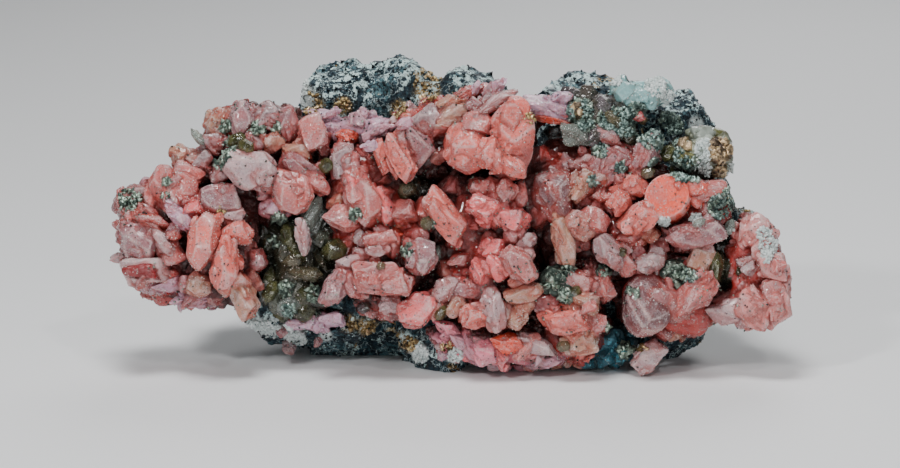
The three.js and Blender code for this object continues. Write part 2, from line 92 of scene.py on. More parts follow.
def ball_grid(rings, sides):
    """Directions on a grid of rings from pole to pole by sides round, with one corner at each pole,
    and the triangles between them."""
    away, around = np.meshgrid(
        np.linspace(0, math.pi, rings + 1)[1:-1], np.linspace(0, 2 * math.pi, sides, False), indexing="ij"
    )
    grid = np.stack([np.cos(around) * np.sin(away), np.sin(around) * np.sin(away), np.cos(away)], -1)
    way = np.concatenate([[[0, 0, 1]], grid.reshape(-1, 3), [[0, 0, -1]]])
    here = 1 + np.arange((rings - 1) * sides).reshape(rings - 1, sides)
    beside = np.roll(here, -1, axis=1)
    a, b, c, d = (corner.ravel() for corner in (here[:-1], here[1:], beside[1:], beside[:-1]))
    north = np.stack([np.zeros(sides, int), here[0], beside[0]], -1)
    south = np.stack([np.full(sides, len(way) - 1), beside[-1], here[-1]], -1)
    return way, np.concatenate([north, np.stack([a, b, c], -1), np.stack([a, c, d], -1), south])


def lattice_noise(points, cell, seed):
    """Smooth noise from -1 to 1: random numbers on a lattice, blended between the eight corners
    round each point by a smooth step."""
    lattice = np.random.default_rng(seed).uniform(-1, 1, (24, 24, 24))
    place = points / cell
    low = np.floor(place).astype(int)
    part = place - low
    part = part * part * (3 - 2 * part)
    total = np.zeros(len(points))
    for corner in itertools.product((0, 1), repeat=3):
        weight = np.prod(np.where(corner, part, 1 - part), axis=-1)
        total += weight * lattice[tuple(((low + corner) % 24).T)]
    return total


def turned(spin, tip, swing):
    """The matrix that tips a crystal about its length, swings it about its width and spins it in
    the face, in that order, from degrees."""
    (sx, sy, sz), (cx, cy, cz) = (f(np.radians([tip, swing, spin])) for f in (np.sin, np.cos))
    about_x = np.array([[1, 0, 0], [0, cx, -sx], [0, sx, cx]])
    about_y = np.array([[cy, 0, sy], [0, 1, 0], [-sy, 0, cy]])
    about_z = np.array([[cz, -sz, 0], [sz, cz, 0], [0, 0, 1]])
    return about_z @ about_y @ about_x


UNCHIPPED = {"massive", "disc", "point", "tetrahedron"}
FLAT_FACED = {"disc", "point", "tetrahedron"}
CHIPS = 7
GRID_TO_MM = 9  # rings of the grid to each millimetre of half length
POINT_GRID_TO_MM = 14
MASSIVE_CURVE = (0.16, 0.3)  # height and cell of the curving, as shares of the crystal's mean half size
CRYSTAL_CURVE = (0.014, 0.8)
LAYER_COUNT = 4
LAYER_CELL = 0.6
LAYER_HEIGHT = 0.09
FLAT_LAYERS = 0.25
ETCHING = 0.02
ETCHING_CELL = 0.5


class Crystal:
    """One crystal: its middle and half sizes on the face, its turn, habit and tint, and a few faces
    of its own that cut across the habit's."""

    def __init__(self, middle, size, turn, habit, tint, draw):
        self.middle = np.array(middle, float)
        self.half = np.array(size, float) / 2
        self.turn = turn
        self.habit = habit
        self.tint = tint
        self.faces, self.sharpness = HABITS[habit]
        self.chips = np.zeros((1, 3))
        if habit not in UNCHIPPED:
            cuts = draw.normal(size=(CHIPS, 3))
            cuts /= np.linalg.norm(cuts, axis=-1)[:, None]
            self.chips = cuts / (draw.uniform(0.74, 1.0, CHIPS) * self.radius(cuts))[:, None]
        way, _ = ball_grid(24, 36)
        self.stretch = self.half / np.abs(way * self.radius(way)[:, None]).max(0)

    def radius(self, way):
        """How far off the surface is in direction d, before it is drawn out to size: the sum, over
        the habit's faces, of |n.d| to the power p, and over the crystal's own of max(n.d, 0) to
        the power p, all to the power -1/p. It is a polyhedron with rounded edges."""
        habit = np.abs(way @ self.faces.T) ** self.sharpness
        own = np.maximum(way @ self.chips.T, 0) ** self.sharpness
        return (habit.sum(-1) + own.sum(-1)) ** (-1 / self.sharpness)

    def surface(self, seed):
        """The grid of directions, carried out to the polyhedron and drawn out to size. It is then
        moved in and out by smooth noise, for curved faces, and by noise in steps, for the edges of
        growth layers, and turned and put in place on the face."""
        rings = (POINT_GRID_TO_MM if self.habit == "point" else GRID_TO_MM) * self.half.max()
        fineness = int(np.clip(rings, 16, 60))
        way, triangles = ball_grid(fineness, int(1.6 * fineness))
        points = way * self.radius(way)[:, None] * self.stretch
        across = self.half.mean()
        curve, cell = MASSIVE_CURVE if self.habit == "massive" else CRYSTAL_CURVE
        rise = curve * across * lattice_noise(points + 40, cell * across, seed)
        layer = LAYER_COUNT * lattice_noise(points * (1, 1, 1.8) + 80, LAYER_CELL * across, seed + 1)
        step = np.floor(layer) + np.clip((layer % 1) * 5, 0, 1)
        height = (FLAT_LAYERS if self.habit in FLAT_FACED else 1) * LAYER_HEIGHT
        rise += height * step + ETCHING * lattice_noise(points + 60, ETCHING_CELL, seed + 2)
        points += way * rise[:, None]
        return points @ self.turn.T + self.middle, triangles

    def own_place(self, points):
        """Points on the face, seen from the crystal's middle along its own axes."""
        return (points - self.middle) @ self.turn

    def reach(self, points):
        """How far points stand out of the crystal's surface, in millimetres, roughly."""
        place = self.own_place(points) / self.stretch
        far = np.linalg.norm(place, axis=-1)
        return (far / self.radius(place / far[:, None]) - 1) * self.half.min()

    def edge(self, points):
        """1 where a point lies between two of the crystal's faces, less in the middle of one."""
        way = self.own_place(points) / self.stretch
        both = np.concatenate([np.abs(way @ self.faces.T), way @ self.chips.T], -1)
        cosines = np.sort(both, axis=-1)
        return cosines[:, -2] / cosines[:, -1]

    def spot(self, side, depth):
        """The place at a share of the way from the middle to the surface, on the side of a vector."""
        way = side / np.linalg.norm(side)
        return self.middle + self.turn @ (way * self.radius(way[None]) * self.stretch * depth)


UNPARALLELED = {"massive", "disc", "oval"}
SMALLEST_PARENT = 1.8  # half length


def parallel_growths(crystals, draw):
    """The crystals, and on each one over 3.6 mm long smaller ones that share its shape, lie nearly
    parallel to it and stand a little out of its faces."""
    grown = list(crystals)
    for parent in crystals:
        if parent.habit in UNPARALLELED or parent.half[0] < SMALLEST_PARENT:
            continue
        for _ in range(int(2 + parent.half[0])):
            share = draw.uniform(0.3, 0.7)
            middle = parent.spot(draw.normal(size=3) * (1, 1, 0.8), 1.1 - share)
            turn = parent.turn @ turned(*draw.normal(scale=(9, 7, 7)))
            size = parent.half * 2 * share * draw.uniform(0.8, 1.2, 3)
            tint = parent.tint * draw.uniform(0.82, 1.12)
            grown.append(Crystal(middle, size, turn, parent.habit, tint, draw))
    return grown


FARTHEST_NEIGHBOUR = 10
SET_BACK = 0.9


def grown_between(crystals, draw):
    """The crystals, and one between each and its two nearest neighbours, a little further in and
    about as large as the smaller of the two, so that the group has no open gaps."""
    own = [crystal for crystal in crystals if crystal.habit != "massive"]
    middles = np.array([crystal.middle for crystal in own])
    filled = list(crystals)
    for one in own:
        apart = np.linalg.norm(middles - one.middle, axis=-1)
        for index in np.argsort(apart)[1:3]:
            other = own[index]
            if apart[index] > FARTHEST_NEIGHBOUR:
                continue
            middle = (one.middle + other.middle) / 2 + draw.normal(scale=0.5, size=3) - (0, 0, SET_BACK)
            half = min(one.half, other.half, key=np.sum) * draw.uniform(0.75, 1.0, 3)
            turn = turned(draw.uniform(0, 180), draw.normal(scale=20), draw.normal(scale=20))
            tint = (one.tint + other.tint) / 2 * draw.uniform(0.8, 1.0)
            filled.append(Crystal(middle, 2 * half, turn, one.habit, tint, draw))
    return filled


def packed_between(crystals, draw, habits, spacing, sizes):
    """The crystals, and small ones that cover the group's massive roots: one or two for each square
    of the spacing, half sunk, most at the front, tinted as one of the group's own."""
    own = [crystal for crystal in crystals if crystal.habit != "massive"]
    packed = list(crystals)
    for root in crystals:
        if root.habit != "massive":
            continue
        for _ in range(int(6 * root.half[0] * root.half[1] / spacing**2)):
            side = draw.normal(size=3)
            side[2] = (abs(side[2]) - 0.2) * draw.choice((1, 1, -1))
            size = draw.uniform(*sizes) * np.array([1, draw.uniform(0.5, 0.85), draw.uniform(0.55, 0.9)])
            turn = turned(draw.uniform(0, 180), draw.normal(scale=25), draw.normal(scale=25))
            tint = own[draw.integers(len(own))].tint * draw.uniform(0.7, 1.0)
            packed.append(Crystal(root.spot(side, 0.97), size, turn, draw.choice(habits), tint, draw))
    return packed


def mesh_of(name, points, faces):
    """A mesh object at the origin, from points in metres and faces that all have as many corners."""
    mesh = bpy.data.meshes.new(name)
    mesh.vertices.add(len(points))
    mesh.vertices.foreach_set("co", np.asarray(points, np.float32).ravel())
    mesh.loops.add(faces.size)
    mesh.loops.foreach_set("vertex_index", faces.astype(np.int32).ravel())
    mesh.polygons.add(len(faces))
    mesh.polygons.foreach_set("loop_start", np.arange(0, faces.size, faces.shape[1], dtype=np.int32))
    mesh.update(calc_edges=True)
    piece = bpy.data.objects.new(name, mesh)
    bpy.context.scene.collection.objects.link(piece)
    return piece


def joined(name, solids):
    """One object that is the union of closed solids, which are taken away."""
    others = bpy.data.collections.new(name + "_parts")
    for solid in solids[1:]:
        others.objects.link(solid)
    join = solids[0].modifiers.new("join", "BOOLEAN")
    join.operation, join.solver, join.operand_type = "UNION", "MANIFOLD", "COLLECTION"
    join.collection = others
    view = bpy.context.evaluated_depsgraph_get()
    view.update()
    mesh = bpy.data.meshes.new_from_object(solids[0].evaluated_get(view))
    for solid in solids:
        bpy.data.meshes.remove(solid.data)
    bpy.data.collections.remove(others)
    piece = bpy.data.objects.new(name, mesh)
    bpy.context.scene.collection.objects.link(piece)
    return piece


def corners(mesh):
    """A mesh's corners, as an array."""
    points = np.empty(3 * len(mesh.vertices), np.float32)
    mesh.vertices.foreach_get("co", points)
    return points.reshape(-1, 3).astype(float)


def put_attribute(mesh, name, kind, values):
    """Stores an array on the mesh's corners, for its material to read."""
    field = {"FLOAT_COLOR": "color", "FLOAT_VECTOR": "vector", "FLOAT": "value"}[kind]
    data = mesh.attributes.new(name, kind, "POINT").data
    data.foreach_set(field, np.asarray(values, np.float32).ravel())


CLEAN = 0.05  # a clean broken face's tint has less green than this share of its red
CONTACT_WIDTH = 0.8
PATTERN_SHIFT = 40  # sets the patterns of crystals of different tints apart
FAR = 1e9


def mark_growth(mesh, crystals):
    """Tells the material, at each corner, which tint its crystal has, where it is on that crystal's
    own axes, how near the crystal's edge it is, how near a neighbour and how far from the root; its
    finish paints shade by the last two."""
    points = on_face(corners(mesh))
    nearest = np.full(len(points), float(FAR))
    second = np.full(len(points), float(FAR))
    owner = np.zeros(len(points), int)
    for index, crystal in enumerate(crystals):
        near = np.linalg.norm(points - crystal.middle, axis=-1) < 1.5 * crystal.half.max() + 1
        gap = np.full(len(points), float(FAR))
        gap[near] = np.abs(crystal.reach(points[near]))
        closer = gap < nearest
        second = np.where(closer, nearest, np.minimum(second, gap))
        owner[closer] = index
        nearest = np.where(closer, gap, nearest)
    tint = np.array([[*one.tint, one.tint[1] > CLEAN * one.tint[0]] for one in crystals])[owner]
    place = np.zeros_like(points)
    edge = np.zeros(len(points))
    root = np.ones(len(points))
    for index, crystal in enumerate(crystals):
        mine = owner == index
        place[mine] = crystal.own_place(points[mine]) + PATTERN_SHIFT * crystal.tint
        if crystal.habit != "massive":
            edge[mine] = crystal.edge(points[mine])
            root[mine] = 0.5 - 0.5 * (points[mine, 2] - crystal.middle[2]) / crystal.half.max()
    put_attribute(mesh, "tint", "FLOAT_COLOR", tint)
    put_attribute(mesh, "own_place", "FLOAT_VECTOR", place)
    contact = np.exp(-second / CONTACT_WIDTH)
    put_attribute(mesh, "growth", "FLOAT_VECTOR", np.stack([edge, contact, np.clip(root, 0, 1)], -1))


TINTS = {
    "salmon": (0.60, 0.145, 0.13),
    "coral": (0.88, 0.18, 0.14),
    "rose": (0.94, 0.16, 0.165),
    "red": (0.55, 0.04, 0.035),
    "orange": (0.95, 0.10, 0.045),
    "mauve": (0.30, 0.125, 0.14),
    "plum": (0.12, 0.034, 0.040),
    "grey": (0.30, 0.19, 0.20),
    "tan": (0.50, 0.25, 0.16),
    "pale": (0.58, 0.42, 0.43),
    "blush": (0.80, 0.30, 0.28),
    "lilac": (0.66, 0.36, 0.46),
    "ruby": (0.26, 0.008, 0.010),
    "magenta": (1.0, 0.28, 0.38),
    "violet": (0.70, 0.46, 0.62),
}


def crystal_group(name, rows, seed, habits=("block", "rhomb", "petal", "lens"), spacing=2.1,
                  sizes=(1.8, 4.4), filled=True, sharp_angle=32):
    """Builds a group from rows of across, up, out, length, width, depth, spin, tip, swing, habit and
    tint: its crystals, the ones between them if it is filled, their parallel growths and the small
    ones packed over the roots, joined and marked."""
    draw = np.random.default_rng(seed)
    crystals = []
    for *middle, length, width, depth, spin, tip, swing, habit, tint in rows:
        size, turn = (length, width, depth), turned(spin, tip, swing)
        crystals.append(Crystal(middle, size, turn, habit, np.array(TINTS[tint]), draw))
    if filled:
        crystals = grown_between(crystals, draw)
    crystals = parallel_growths(crystals, draw)
    crystals = packed_between(crystals, draw, habits, spacing, sizes)
    solids = []
    for index, crystal in enumerate(crystals):
        points, triangles = crystal.surface(seed + index)
        points = in_frame(points)
        points[:, 2] = np.maximum(points[:, 2], 0)
        solids.append(mesh_of(f"{name}_{index}", points, triangles))
    piece = joined(name, solids)
    piece.data.materials.clear()
    piece.data.shade_smooth()
    piece.data.set_sharp_from_angle(angle=math.radians(sharp_angle))
    mark_growth(piece.data, crystals)
    return piece


# Each row is a crystal: across, up, out, length, width, depth, spin, tip, swing, habit and tint. A
# massive one is the lump that its group grows from; its dark red tint, which shows in the hollows
# between the crystals, is painted shade there.
LEFT_END = [
    (-45, 24.5, -5.5, 25, 23, 14, 0, 0, 0, "massive", "red"),
    (-55.5, 31, -4, 7.5, 6, 6, 20, 10, 0, "hex", "grey"),
    (-50.3, 33, 0, 9.5, 6.5, 5, 78, 15, -15, "lens", "salmon"),
    (-47.6, 32.4, 2, 7.5, 6.5, 5, 60, 12, 5, "lens", "salmon"),
    (-46, 35.3, -1, 6.5, 5, 5, -30, 20, 10, "block", "salmon"),
    (-40.3, 31.4, 3, 8.2, 5.8, 5.5, -8, -10, 0, "block", "mauve"),
    (-44.6, 29.6, 3.5, 5, 4.4, 4.5, 20, 0, 15, "rhomb", "rose"),
    (-37.8, 28.7, 3.5, 4.6, 2.8, 4, 12, 0, 15, "block", "pale"),
    (-47.2, 28.2, 4, 7, 3, 5, -42, 0, 0, "petal", "violet"),
    (-42.9, 24.4, 6, 11.2, 5.6, 7, 74, 0, 10, "petal", "coral"),
    (-39.2, 19.8, 6.5, 9.4, 4.8, 6.5, 84, 10, 0, "petal", "coral"),
    (-37.2, 25.7, 4, 6.6, 4.4, 6, -14, 0, -10, "petal", "coral"),
    (-39.6, 25.8, 2.5, 4.6, 3.4, 4, 40, 0, 0, "block", "salmon"),
    (-54.6, 24.4, 1.5, 8.4, 7, 6, -35, 20, -10, "block", "mauve"),
    (-56.4, 27.6, 0, 7, 3, 5, 62, 0, 0, "petal", "salmon"),
    (-52.5, 27.6, 2.5, 7, 2.8, 5, -16, 0, 0, "petal", "salmon"),
    (-50.4, 24, 3, 5.6, 2.8, 5, -60, 0, 10, "petal", "pale"),
    (-48.2, 25.2, 3.5, 3.6, 3, 3.5, 20, 0, 0, "rhomb", "salmon"),
    (-53.2, 18.6, 1.2, 9.6, 5.2, 8, -4, -12, 0, "block", "pale"),
    (-54.3, 18.5, 3.4, 7, 3, 4.6, -4, -12, 0, "block", "ruby"),
    (-49.3, 16.6, -1, 9.5, 4.6, 7, 8, 0, 10, "shard", "violet"),
    (-48.4, 21.4, 2.5, 4.4, 3.6, 3.5, 20, 0, 0, "block", "salmon"),
    (-44, 16.6, 2.5, 5.6, 4.8, 5, 70, 0, 15, "block", "tan"),
    (-42.8, 20, 3, 4.4, 3, 4, 80, 0, 0, "petal", "red"),
    (-45.6, 13.6, -1, 7.4, 2.8, 5, 4, 0, 0, "shard", "violet"),
    (-36.4, 14.2, 3, 8.2, 4.4, 5, -64, 10, 0, "block", "tan"),
    (-34.9, 20.3, 0.5, 4.8, 4.6, 4.5, 20, 0, -10, "hex", "mauve"),
    (-47.7, 39.2, -3, 4.4, 3.9, 4, -20, 0, 0, "rhomb", "tan"),
    (-58.4, 21, -1, 3.2, 2.2, 3.5, 15, 0, 0, "shard", "pale"),
    (-52.4, 30.6, -0.5, 6.4, 2.6, 5, 104, 0, 0, "petal", "salmon"),
    (-43.5, 38.2, -2, 4.4, 3, 4, 30, 0, 0, "block", "grey"),
]
UPPER_LEFT = [
    (-33, 38.5, -8, 22, 18, 12, -10, 0, 0, "massive", "red"),
    (-35, 36.8, 4, 9, 7.4, 5, -22, 10, 10, "hex", "pale"),
    (-33.2, 35.8, 4.4, 5.4, 4.4, 4.4, -30, -10, 0, "rhomb", "pale"),
    (-40.1, 36, 2, 4.2, 3.4, 4, 60, 0, 0, "block", "grey"),
    (-28.4, 33.4, 3, 10, 7.6, 5, -48, 5, -15, "lens", "salmon"),
    (-30.8, 30.2, 1, 7.4, 5, 5, 8, 20, 0, "rhomb", "lilac"),
    (-25.9, 36.6, 1, 10, 5.6, 6, -42, 0, 10, "block", "mauve"),
    (-23.4, 34.2, 2, 6.4, 3.4, 5, -40, 0, 0, "petal", "salmon"),
    (-27, 39.8, 1.5, 5.4, 3.2, 4, -6, 0, 0, "block", "tan"),
    (-24.2, 43, 1.5, 6.8, 5, 5, 98, 0, 15, "block", "salmon"),
    (-31.8, 45.6, -2, 7.8, 6.6, 6, 40, 10, 0, "rhomb", "grey"),
    (-36.6, 45.4, -2, 6.4, 5, 6, 85, 0, 10, "hex", "mauve"),
    (-40.8, 45, -4, 5.4, 5, 5, 40, 0, 0, "block", "tan"),
    (-28.5, 44.3, -1, 6.6, 4, 5, 100, 0, -10, "block", "mauve"),
    (-41.3, 41.3, -3, 5.2, 3.8, 5, -10, 0, 0, "block", "grey"),
    (-34, 41.4, 0.5, 4.4, 3, 4, -50, 0, 0, "block", "grey"),
    (-31.2, 41.2, 0.5, 4.4, 3.6, 4, 30, 0, 0, "block", "tan"),
    (-22.3, 40.6, -1, 4.4, 2.6, 4, 95, 0, 0, "block", "grey"),
    (-44.1, 38.6, -4, 3.8, 3.2, 4, 20, 0, 0, "rhomb", "mauve"),
    (-42.5, 36.9, -2, 3.8, 3, 4, -30, 0, 0, "rhomb", "mauve"),
    (-38.2, 41.2, -1.5, 4, 3.4, 4, -20, 0, 0, "block", "grey"),
]
MIDDLE_LEFT = [
    (-13, 26, -4, 16, 31, 14, 12, 0, 0, "massive", "red"),
    (-18.5, 38, 1, 7.2, 5.6, 5, 80, 0, 10, "block", "grey"),
    (-15, 32, 3, 11, 6.2, 6, -64, 10, -10, "block", "salmon"),
    (-16.8, 34.4, 3.5, 5, 4.4, 4.5, -50, 0, 0, "rhomb", "rose"),
    (-11.4, 29.6, 2.5, 8.6, 3.8, 5, -72, 0, 10, "petal", "rose"),
    (-18.3, 27.8, 3.5, 7.4, 5, 5, -12, 15, 0, "rhomb", "salmon"),
    (-19.6, 31, 1.5, 4.6, 3.6, 4, 20, 0, 0, "rhomb", "tan"),
    (-7.6, 29, 3, 5.8, 5, 5, 10, 0, 0, "rhomb", "salmon"),
    (-0.9, 28.5, 5, 11, 5, 6, -50, 15, 10, "block", "coral"),
    (-4.7, 21.7, 5, 7, 5.8, 5, 68, 0, 15, "hex", "mauve"),
    (-11.9, 24.3, 3.5, 6.4, 3.4, 4, 4, 0, 0, "block", "salmon"),
    (-9.6, 23.6, 3, 5.6, 2.8, 4, 90, 0, 0, "petal", "salmon"),
    (-12.8, 22.4, 4.2, 4.6, 2.2, 3.4, 8, 0, 0, "block", "pale"),
    (-12, 17.6, 5, 11, 6.8, 6, -12, -12, 8, "block", "salmon"),
    (-8.6, 17, 4.5, 5.4, 4.4, 5, -30, 0, 0, "block", "salmon"),
    (-17.4, 20.2, 3, 5.6, 3, 4, 14, 0, 0, "block", "pale"),
    (-20, 15.9, 4, 8, 4.4, 5, 62, 0, 12, "petal", "mauve"),
    (-10.6, 13.1, 3, 3.8, 3, 3.5, -30, 0, 0, "block", "pale"),
    (-6.4, 25.4, 2, 5, 4, 4.5, 20, 0, 0, "rhomb", "red"),
    (-18.2, 42.4, -1, 5, 3.2, 4, -12, 0, 0, "rhomb", "orange"),
    (-11.6, 34.9, 1, 4.2, 3.2, 4, 40, 0, 0, "block", "salmon"),
]
TOP_MIDDLE = [
    (2, 42.5, -4, 25, 13, 14, 4, 0, 0, "massive", "red"),
    (10.6, 42, 6, 14.6, 8.4, 7, 84, 10, -12, "lens", "coral"),
    (3.3, 40.8, 5.5, 10.4, 9.6, 7, 30, -10, 0, "rhomb", "coral"),
    (6.7, 39.5, 9, 5.8, 3.6, 4, 80, 0, 0, "petal", "coral"),
    (10.8, 37.1, 9, 6.2, 3.6, 4, -26, 15, 0, "petal", "coral"),
    (5, 44.4, 6, 6, 5, 5, 10, 10, 0, "rhomb", "salmon"),
    (-6.2, 41.4, 4, 8.6, 5.6, 5.5, -56, 10, 15, "block", "mauve"),
    (-8.6, 38.6, 5.5, 9.4, 4, 5, -62, 0, -10, "block", "coral"),
    (-11.9, 38.8, 4, 6.4, 2.6, 4, 104, 0, 0, "block", "coral"),
    (-4, 45.4, 2, 6.6, 4.6, 5, 30, 0, 0, "block", "grey"),
    (1, 45.8, 1.5, 6.6, 5.4, 5, 10, 10, 0, "hex", "tan"),
    (8, 48.2, 4, 9.6, 3, 6, 30, 0, 0, "shard", "pale"),
    (3, 50, 0, 6.6, 3, 5, 25, 0, 0, "shard", "salmon"),
    (8.2, 50.8, 1, 4.6, 3.2, 5, 60, 0, 0, "shard", "lilac"),
    (0.4, 48.6, 2, 6, 2.4, 4, 10, 0, 0, "shard", "tan"),
    (4.2, 47.6, 3.5, 3.4, 3, 3, 40, 0, 0, "block", "mauve"),
]
MIDDLE = [
    (5.8, 21, -3, 18, 30, 14, 0, 0, 0, "massive", "red"),
    (8, 13, -1, 12, 10, 10, 0, 0, 0, "massive", "red"),
    (0.9, 33.4, 0, 7, 5.4, 7, 20, 0, 0, "rhomb", "mauve"),
    (6.6, 29.3, 6, 7.6, 6, 6, -18, 15, 10, "rhomb", "rose"),
    (10.6, 27.8, 5.5, 6.8, 4.8, 5, -10, 0, -10, "block", "rose"),
    (5.6, 33.6, 4, 5.6, 3.2, 4, -10, 0, 0, "block", "salmon"),
    (9.6, 32.8, 5, 4.8, 3.8, 4, 80, 0, 10, "hex", "salmon"),
    (12.3, 32.2, 3.5, 5, 3, 4, 98, 0, 0, "block", "salmon"),
    (2.6, 26.6, 2.5, 4.4, 3.4, 4, -40, 0, 0, "rhomb", "red"),
    (7.8, 22.8, 5, 7, 4.8, 5, 10, 10, 0, "rhomb", "rose"),
    (12.1, 20, 7, 7.2, 5, 5, -48, 0, 15, "hex", "salmon"),
    (5.6, 19, 4.5, 5.6, 4, 5, 84, 0, 0, "rhomb", "rose"),
    (8.7, 19.4, 6.5, 5.4, 4.2, 4, -60, 0, 0, "lens", "rose"),
    (13.2, 23.8, 4, 4.2, 3.4, 4, 30, 0, 0, "hex", "pale"),
    (13, 15.1, 5, 7, 3.4, 5, 10, 15, 0, "block", "tan"),
    (11.9, 10.9, 4, 4.6, 3.8, 4, 70, 0, 0, "hex", "tan"),
    (7.6, 12.2, 5, 8.2, 5, 5, 104, 0, 10, "lens", "pale"),
    (4.1, 10.9, 5.5, 5.8, 5, 5, 50, 0, 0, "rhomb", "coral"),
    (-1, 15.4, 4, 6, 3.6, 4, 46, 0, 0, "petal", "pale"),
    (3, 15.6, 3, 5, 4.4, 4, 10, 0, 0, "hex", "mauve"),
    (1, 12.6, 3.4, 4.4, 3.4, 4, 30, 0, 0, "block", "tan"),
    (-5.6, 12, 4, 7, 5.8, 4, 12, 0, 0, "hex", "rose"),
    (1.4, 20.4, 1.5, 4, 3.4, 4, 20, 0, 0, "rhomb", "red"),
]
RIGHT_BANK = [
    (25.8, 30, -4.5, 25, 25, 14, 0, 0, 0, "massive", "red"),
    (31, 25.4, -0.5, 9, 11, 9, 0, 0, 0, "massive", "red"),
    (18.8, 32.6, 3, 10, 8.6, 6, 106, 10, 10, "lens", "plum"),
    (17, 29.2, 2, 7, 6, 5, 80, 0, 0, "lens", "plum"),
    (16.3, 38.4, -1, 6, 5.6, 5, 20, 0, 0, "rhomb", "red"),
    (20.8, 37.5, 0, 4.8, 3.8, 4, -50, 0, 0, "block", "grey"),
    (14.2, 31.6, 0.5, 8.6, 4, 5, 84, 0, 0, "block", "mauve"),
    (23.4, 34.2, 4, 7, 2.8, 5, 62, 0, 0, "block", "tan"),
    (23.9, 38, 1, 4.6, 2.6, 4, 24, 0, 0, "block", "pale"),
    (28.3, 37.2, 2, 8.4, 5, 5, 52, 10, 0, "block", "mauve"),
    (25.6, 36.4, 2, 6.4, 3, 4, 56, 0, 0, "block", "mauve"),
    (27.7, 42.6, 0.5, 5.8, 3, 4, -26, 0, 0, "petal", "grey"),
    (34.4, 39.8, 2.5, 8, 4.4, 5, 60, 0, 10, "petal", "mauve"),
    (32.3, 33.8, 4, 5, 4.4, 5, 20, 0, 0, "rhomb", "coral"),
    (29.9, 31, 4.5, 5.4, 4.6, 5, 70, 0, 0, "rhomb", "coral"),
    (26, 32, 2.5, 5, 4, 4, 10, 0, 0, "rhomb", "salmon"),
    (24.8, 27.3, 4.5, 6.6, 5.6, 5, 20, 0, 0, "rhomb", "salmon"),
    (22.8, 24.4, 2.5, 4.8, 4, 4, -20, 0, 0, "block", "salmon"),
    (33.2, 28.1, 5.5, 7.6, 4.6, 5, 38, 10, 0, "block", "coral"),
    (32.2, 24.8, 4, 5.6, 3.8, 4, 10, 0, 0, "rhomb", "salmon"),
    (35.2, 25.4, 3, 3.6, 3, 3.6, 30, 0, 0, "block", "tan"),
    (28, 21.9, 5, 7.4, 4.6, 5, -58, 0, 10, "lens", "grey"),
    (30.9, 20.6, 3.5, 5.8, 3.6, 4, -76, 0, 0, "block", "salmon"),
    (34.9, 20.1, 3.5, 5.6, 3.8, 4, 14, 0, 0, "petal", "pale"),
    (20, 24, 5, 8.6, 4, 5, -76, 0, 10, "hex", "tan"),
    (37, 23.4, 1.6, 4, 3.2, 4, 0, 0, 0, "block", "grey"),
]
LOWER_RIGHT = [
    (21, 11, -4, 13, 17, 13, 10, 0, 0, "massive", "red"),
    (22.8, 6.4, 3, 7, 5, 5, 6, 0, 0, "block", "tan"),
    (20.6, 10.1, 4.5, 8.6, 4.6, 5, 6, 10, 0, "block", "coral"),
    (17.6, 10.6, 3.5, 5.4, 4, 4.5, -20, 0, 0, "rhomb", "coral"),
    (23.8, 13.3, 4.5, 6, 4.6, 5, -12, 0, 10, "rhomb", "tan"),
    (22.6, 16.8, 3.5, 5.6, 4, 4, -36, 0, 0, "block", "salmon"),
    (17.2, 13.4, 2.5, 5.2, 4.6, 4, 32, 0, 0, "hex", "mauve"),
    (27.2, 16, 2, 6.2, 3.6, 4, -74, 0, 0, "block", "salmon"),
    (25.2, 19, 1.5, 5.4, 3, 4, -62, 0, 0, "petal", "pale"),
    (25.6, 9.6, 2.6, 4.4, 3.6, 4, 80, 0, 0, "block", "salmon"),
]
SHIELD = [
    (39, 15.5, -4, 18, 16, 13, 0, 0, 0, "massive", "red"),
    (34.3, 12.4, 2.5, 12.8, 10.2, 8, -62, 5, -14, "oval", "plum"),
    (42.8, 14.8, 4.5, 9.8, 5.4, 5.5, 52, 10, 0, "lens", "salmon"),
    (43.9, 20.4, 3, 5.8, 4.4, 4, 66, 0, 0, "block", "tan"),
]
DISCS = [
    (41.8, 29.4, -2.6, 15, 11, 13, 0, 0, 0, "massive", "red"),
    (38.4, 31.5, 4.4, 8.2, 7.8, 4.4, 60, -16, 8, "disc", "orange"),
    (45.3, 32.5, 4.5, 7.6, 3.6, 5, 22, 10, 0, "oval", "salmon"),
    (43.6, 25.6, 4.5, 10, 5, 5, 12, 10, 0, "block", "mauve"),
    (38.9, 25.2, 2, 4.4, 3.4, 4, -40, 0, 0, "block", "grey"),
    (44.4, 22.4, 2.4, 5, 3, 4, 0, 0, 0, "block", "pale"),
]
RIGHT_END = [
    (53.3, 18.4, -3.5, 10, 19, 13, 0, 0, 0, "massive", "red"),
    (53.4, 25.8, 1.5, 6, 5.4, 5, 60, 0, 10, "hex", "blush"),
    (56.7, 19.8, 3, 6.8, 5, 6, -18, 0, 0, "block", "blush"),
    (57.2, 13.6, 3, 8.8, 5, 6, 98, 0, 10, "block", "blush"),
    (54, 12, 3.5, 8.4, 6.4, 5, -42, 10, 0, "block", "blush"),
    (49.2, 12.2, 1, 8, 6.4, 6, -8, 0, 0, "rhomb", "pale"),
    (52.6, 20.2, 1.4, 4, 3.2, 4, 10, 0, 0, "block", "pale"),
    (52.4, 15.2, 2, 4.4, 3.4, 4, 30, 0, 0, "rhomb", "salmon"),
]
FOOT_BLOCK = [
    (35.4, 3.6, -1.5, 7.2, 4.8, 6, 38, 0, 0, "block", "pale"),
]
POCKET_LENS = [
    (-25.7, 24.8, 3.5, 6.4, 2.8, 4, 101, 0, 0, "lens", "pale"),
]
GROUPS = {
    "left_end": LEFT_END,
    "upper_left": UPPER_LEFT,
    "middle_left": MIDDLE_LEFT,
    "top_middle": TOP_MIDDLE,
    "middle": MIDDLE,
    "right_bank": RIGHT_BANK,
    "lower_right": LOWER_RIGHT,
    "shield": SHIELD,
    "discs": DISCS,
    "right_end": RIGHT_END,
    "foot_block": FOOT_BLOCK,
    "pocket_lens": POCKET_LENS,
}


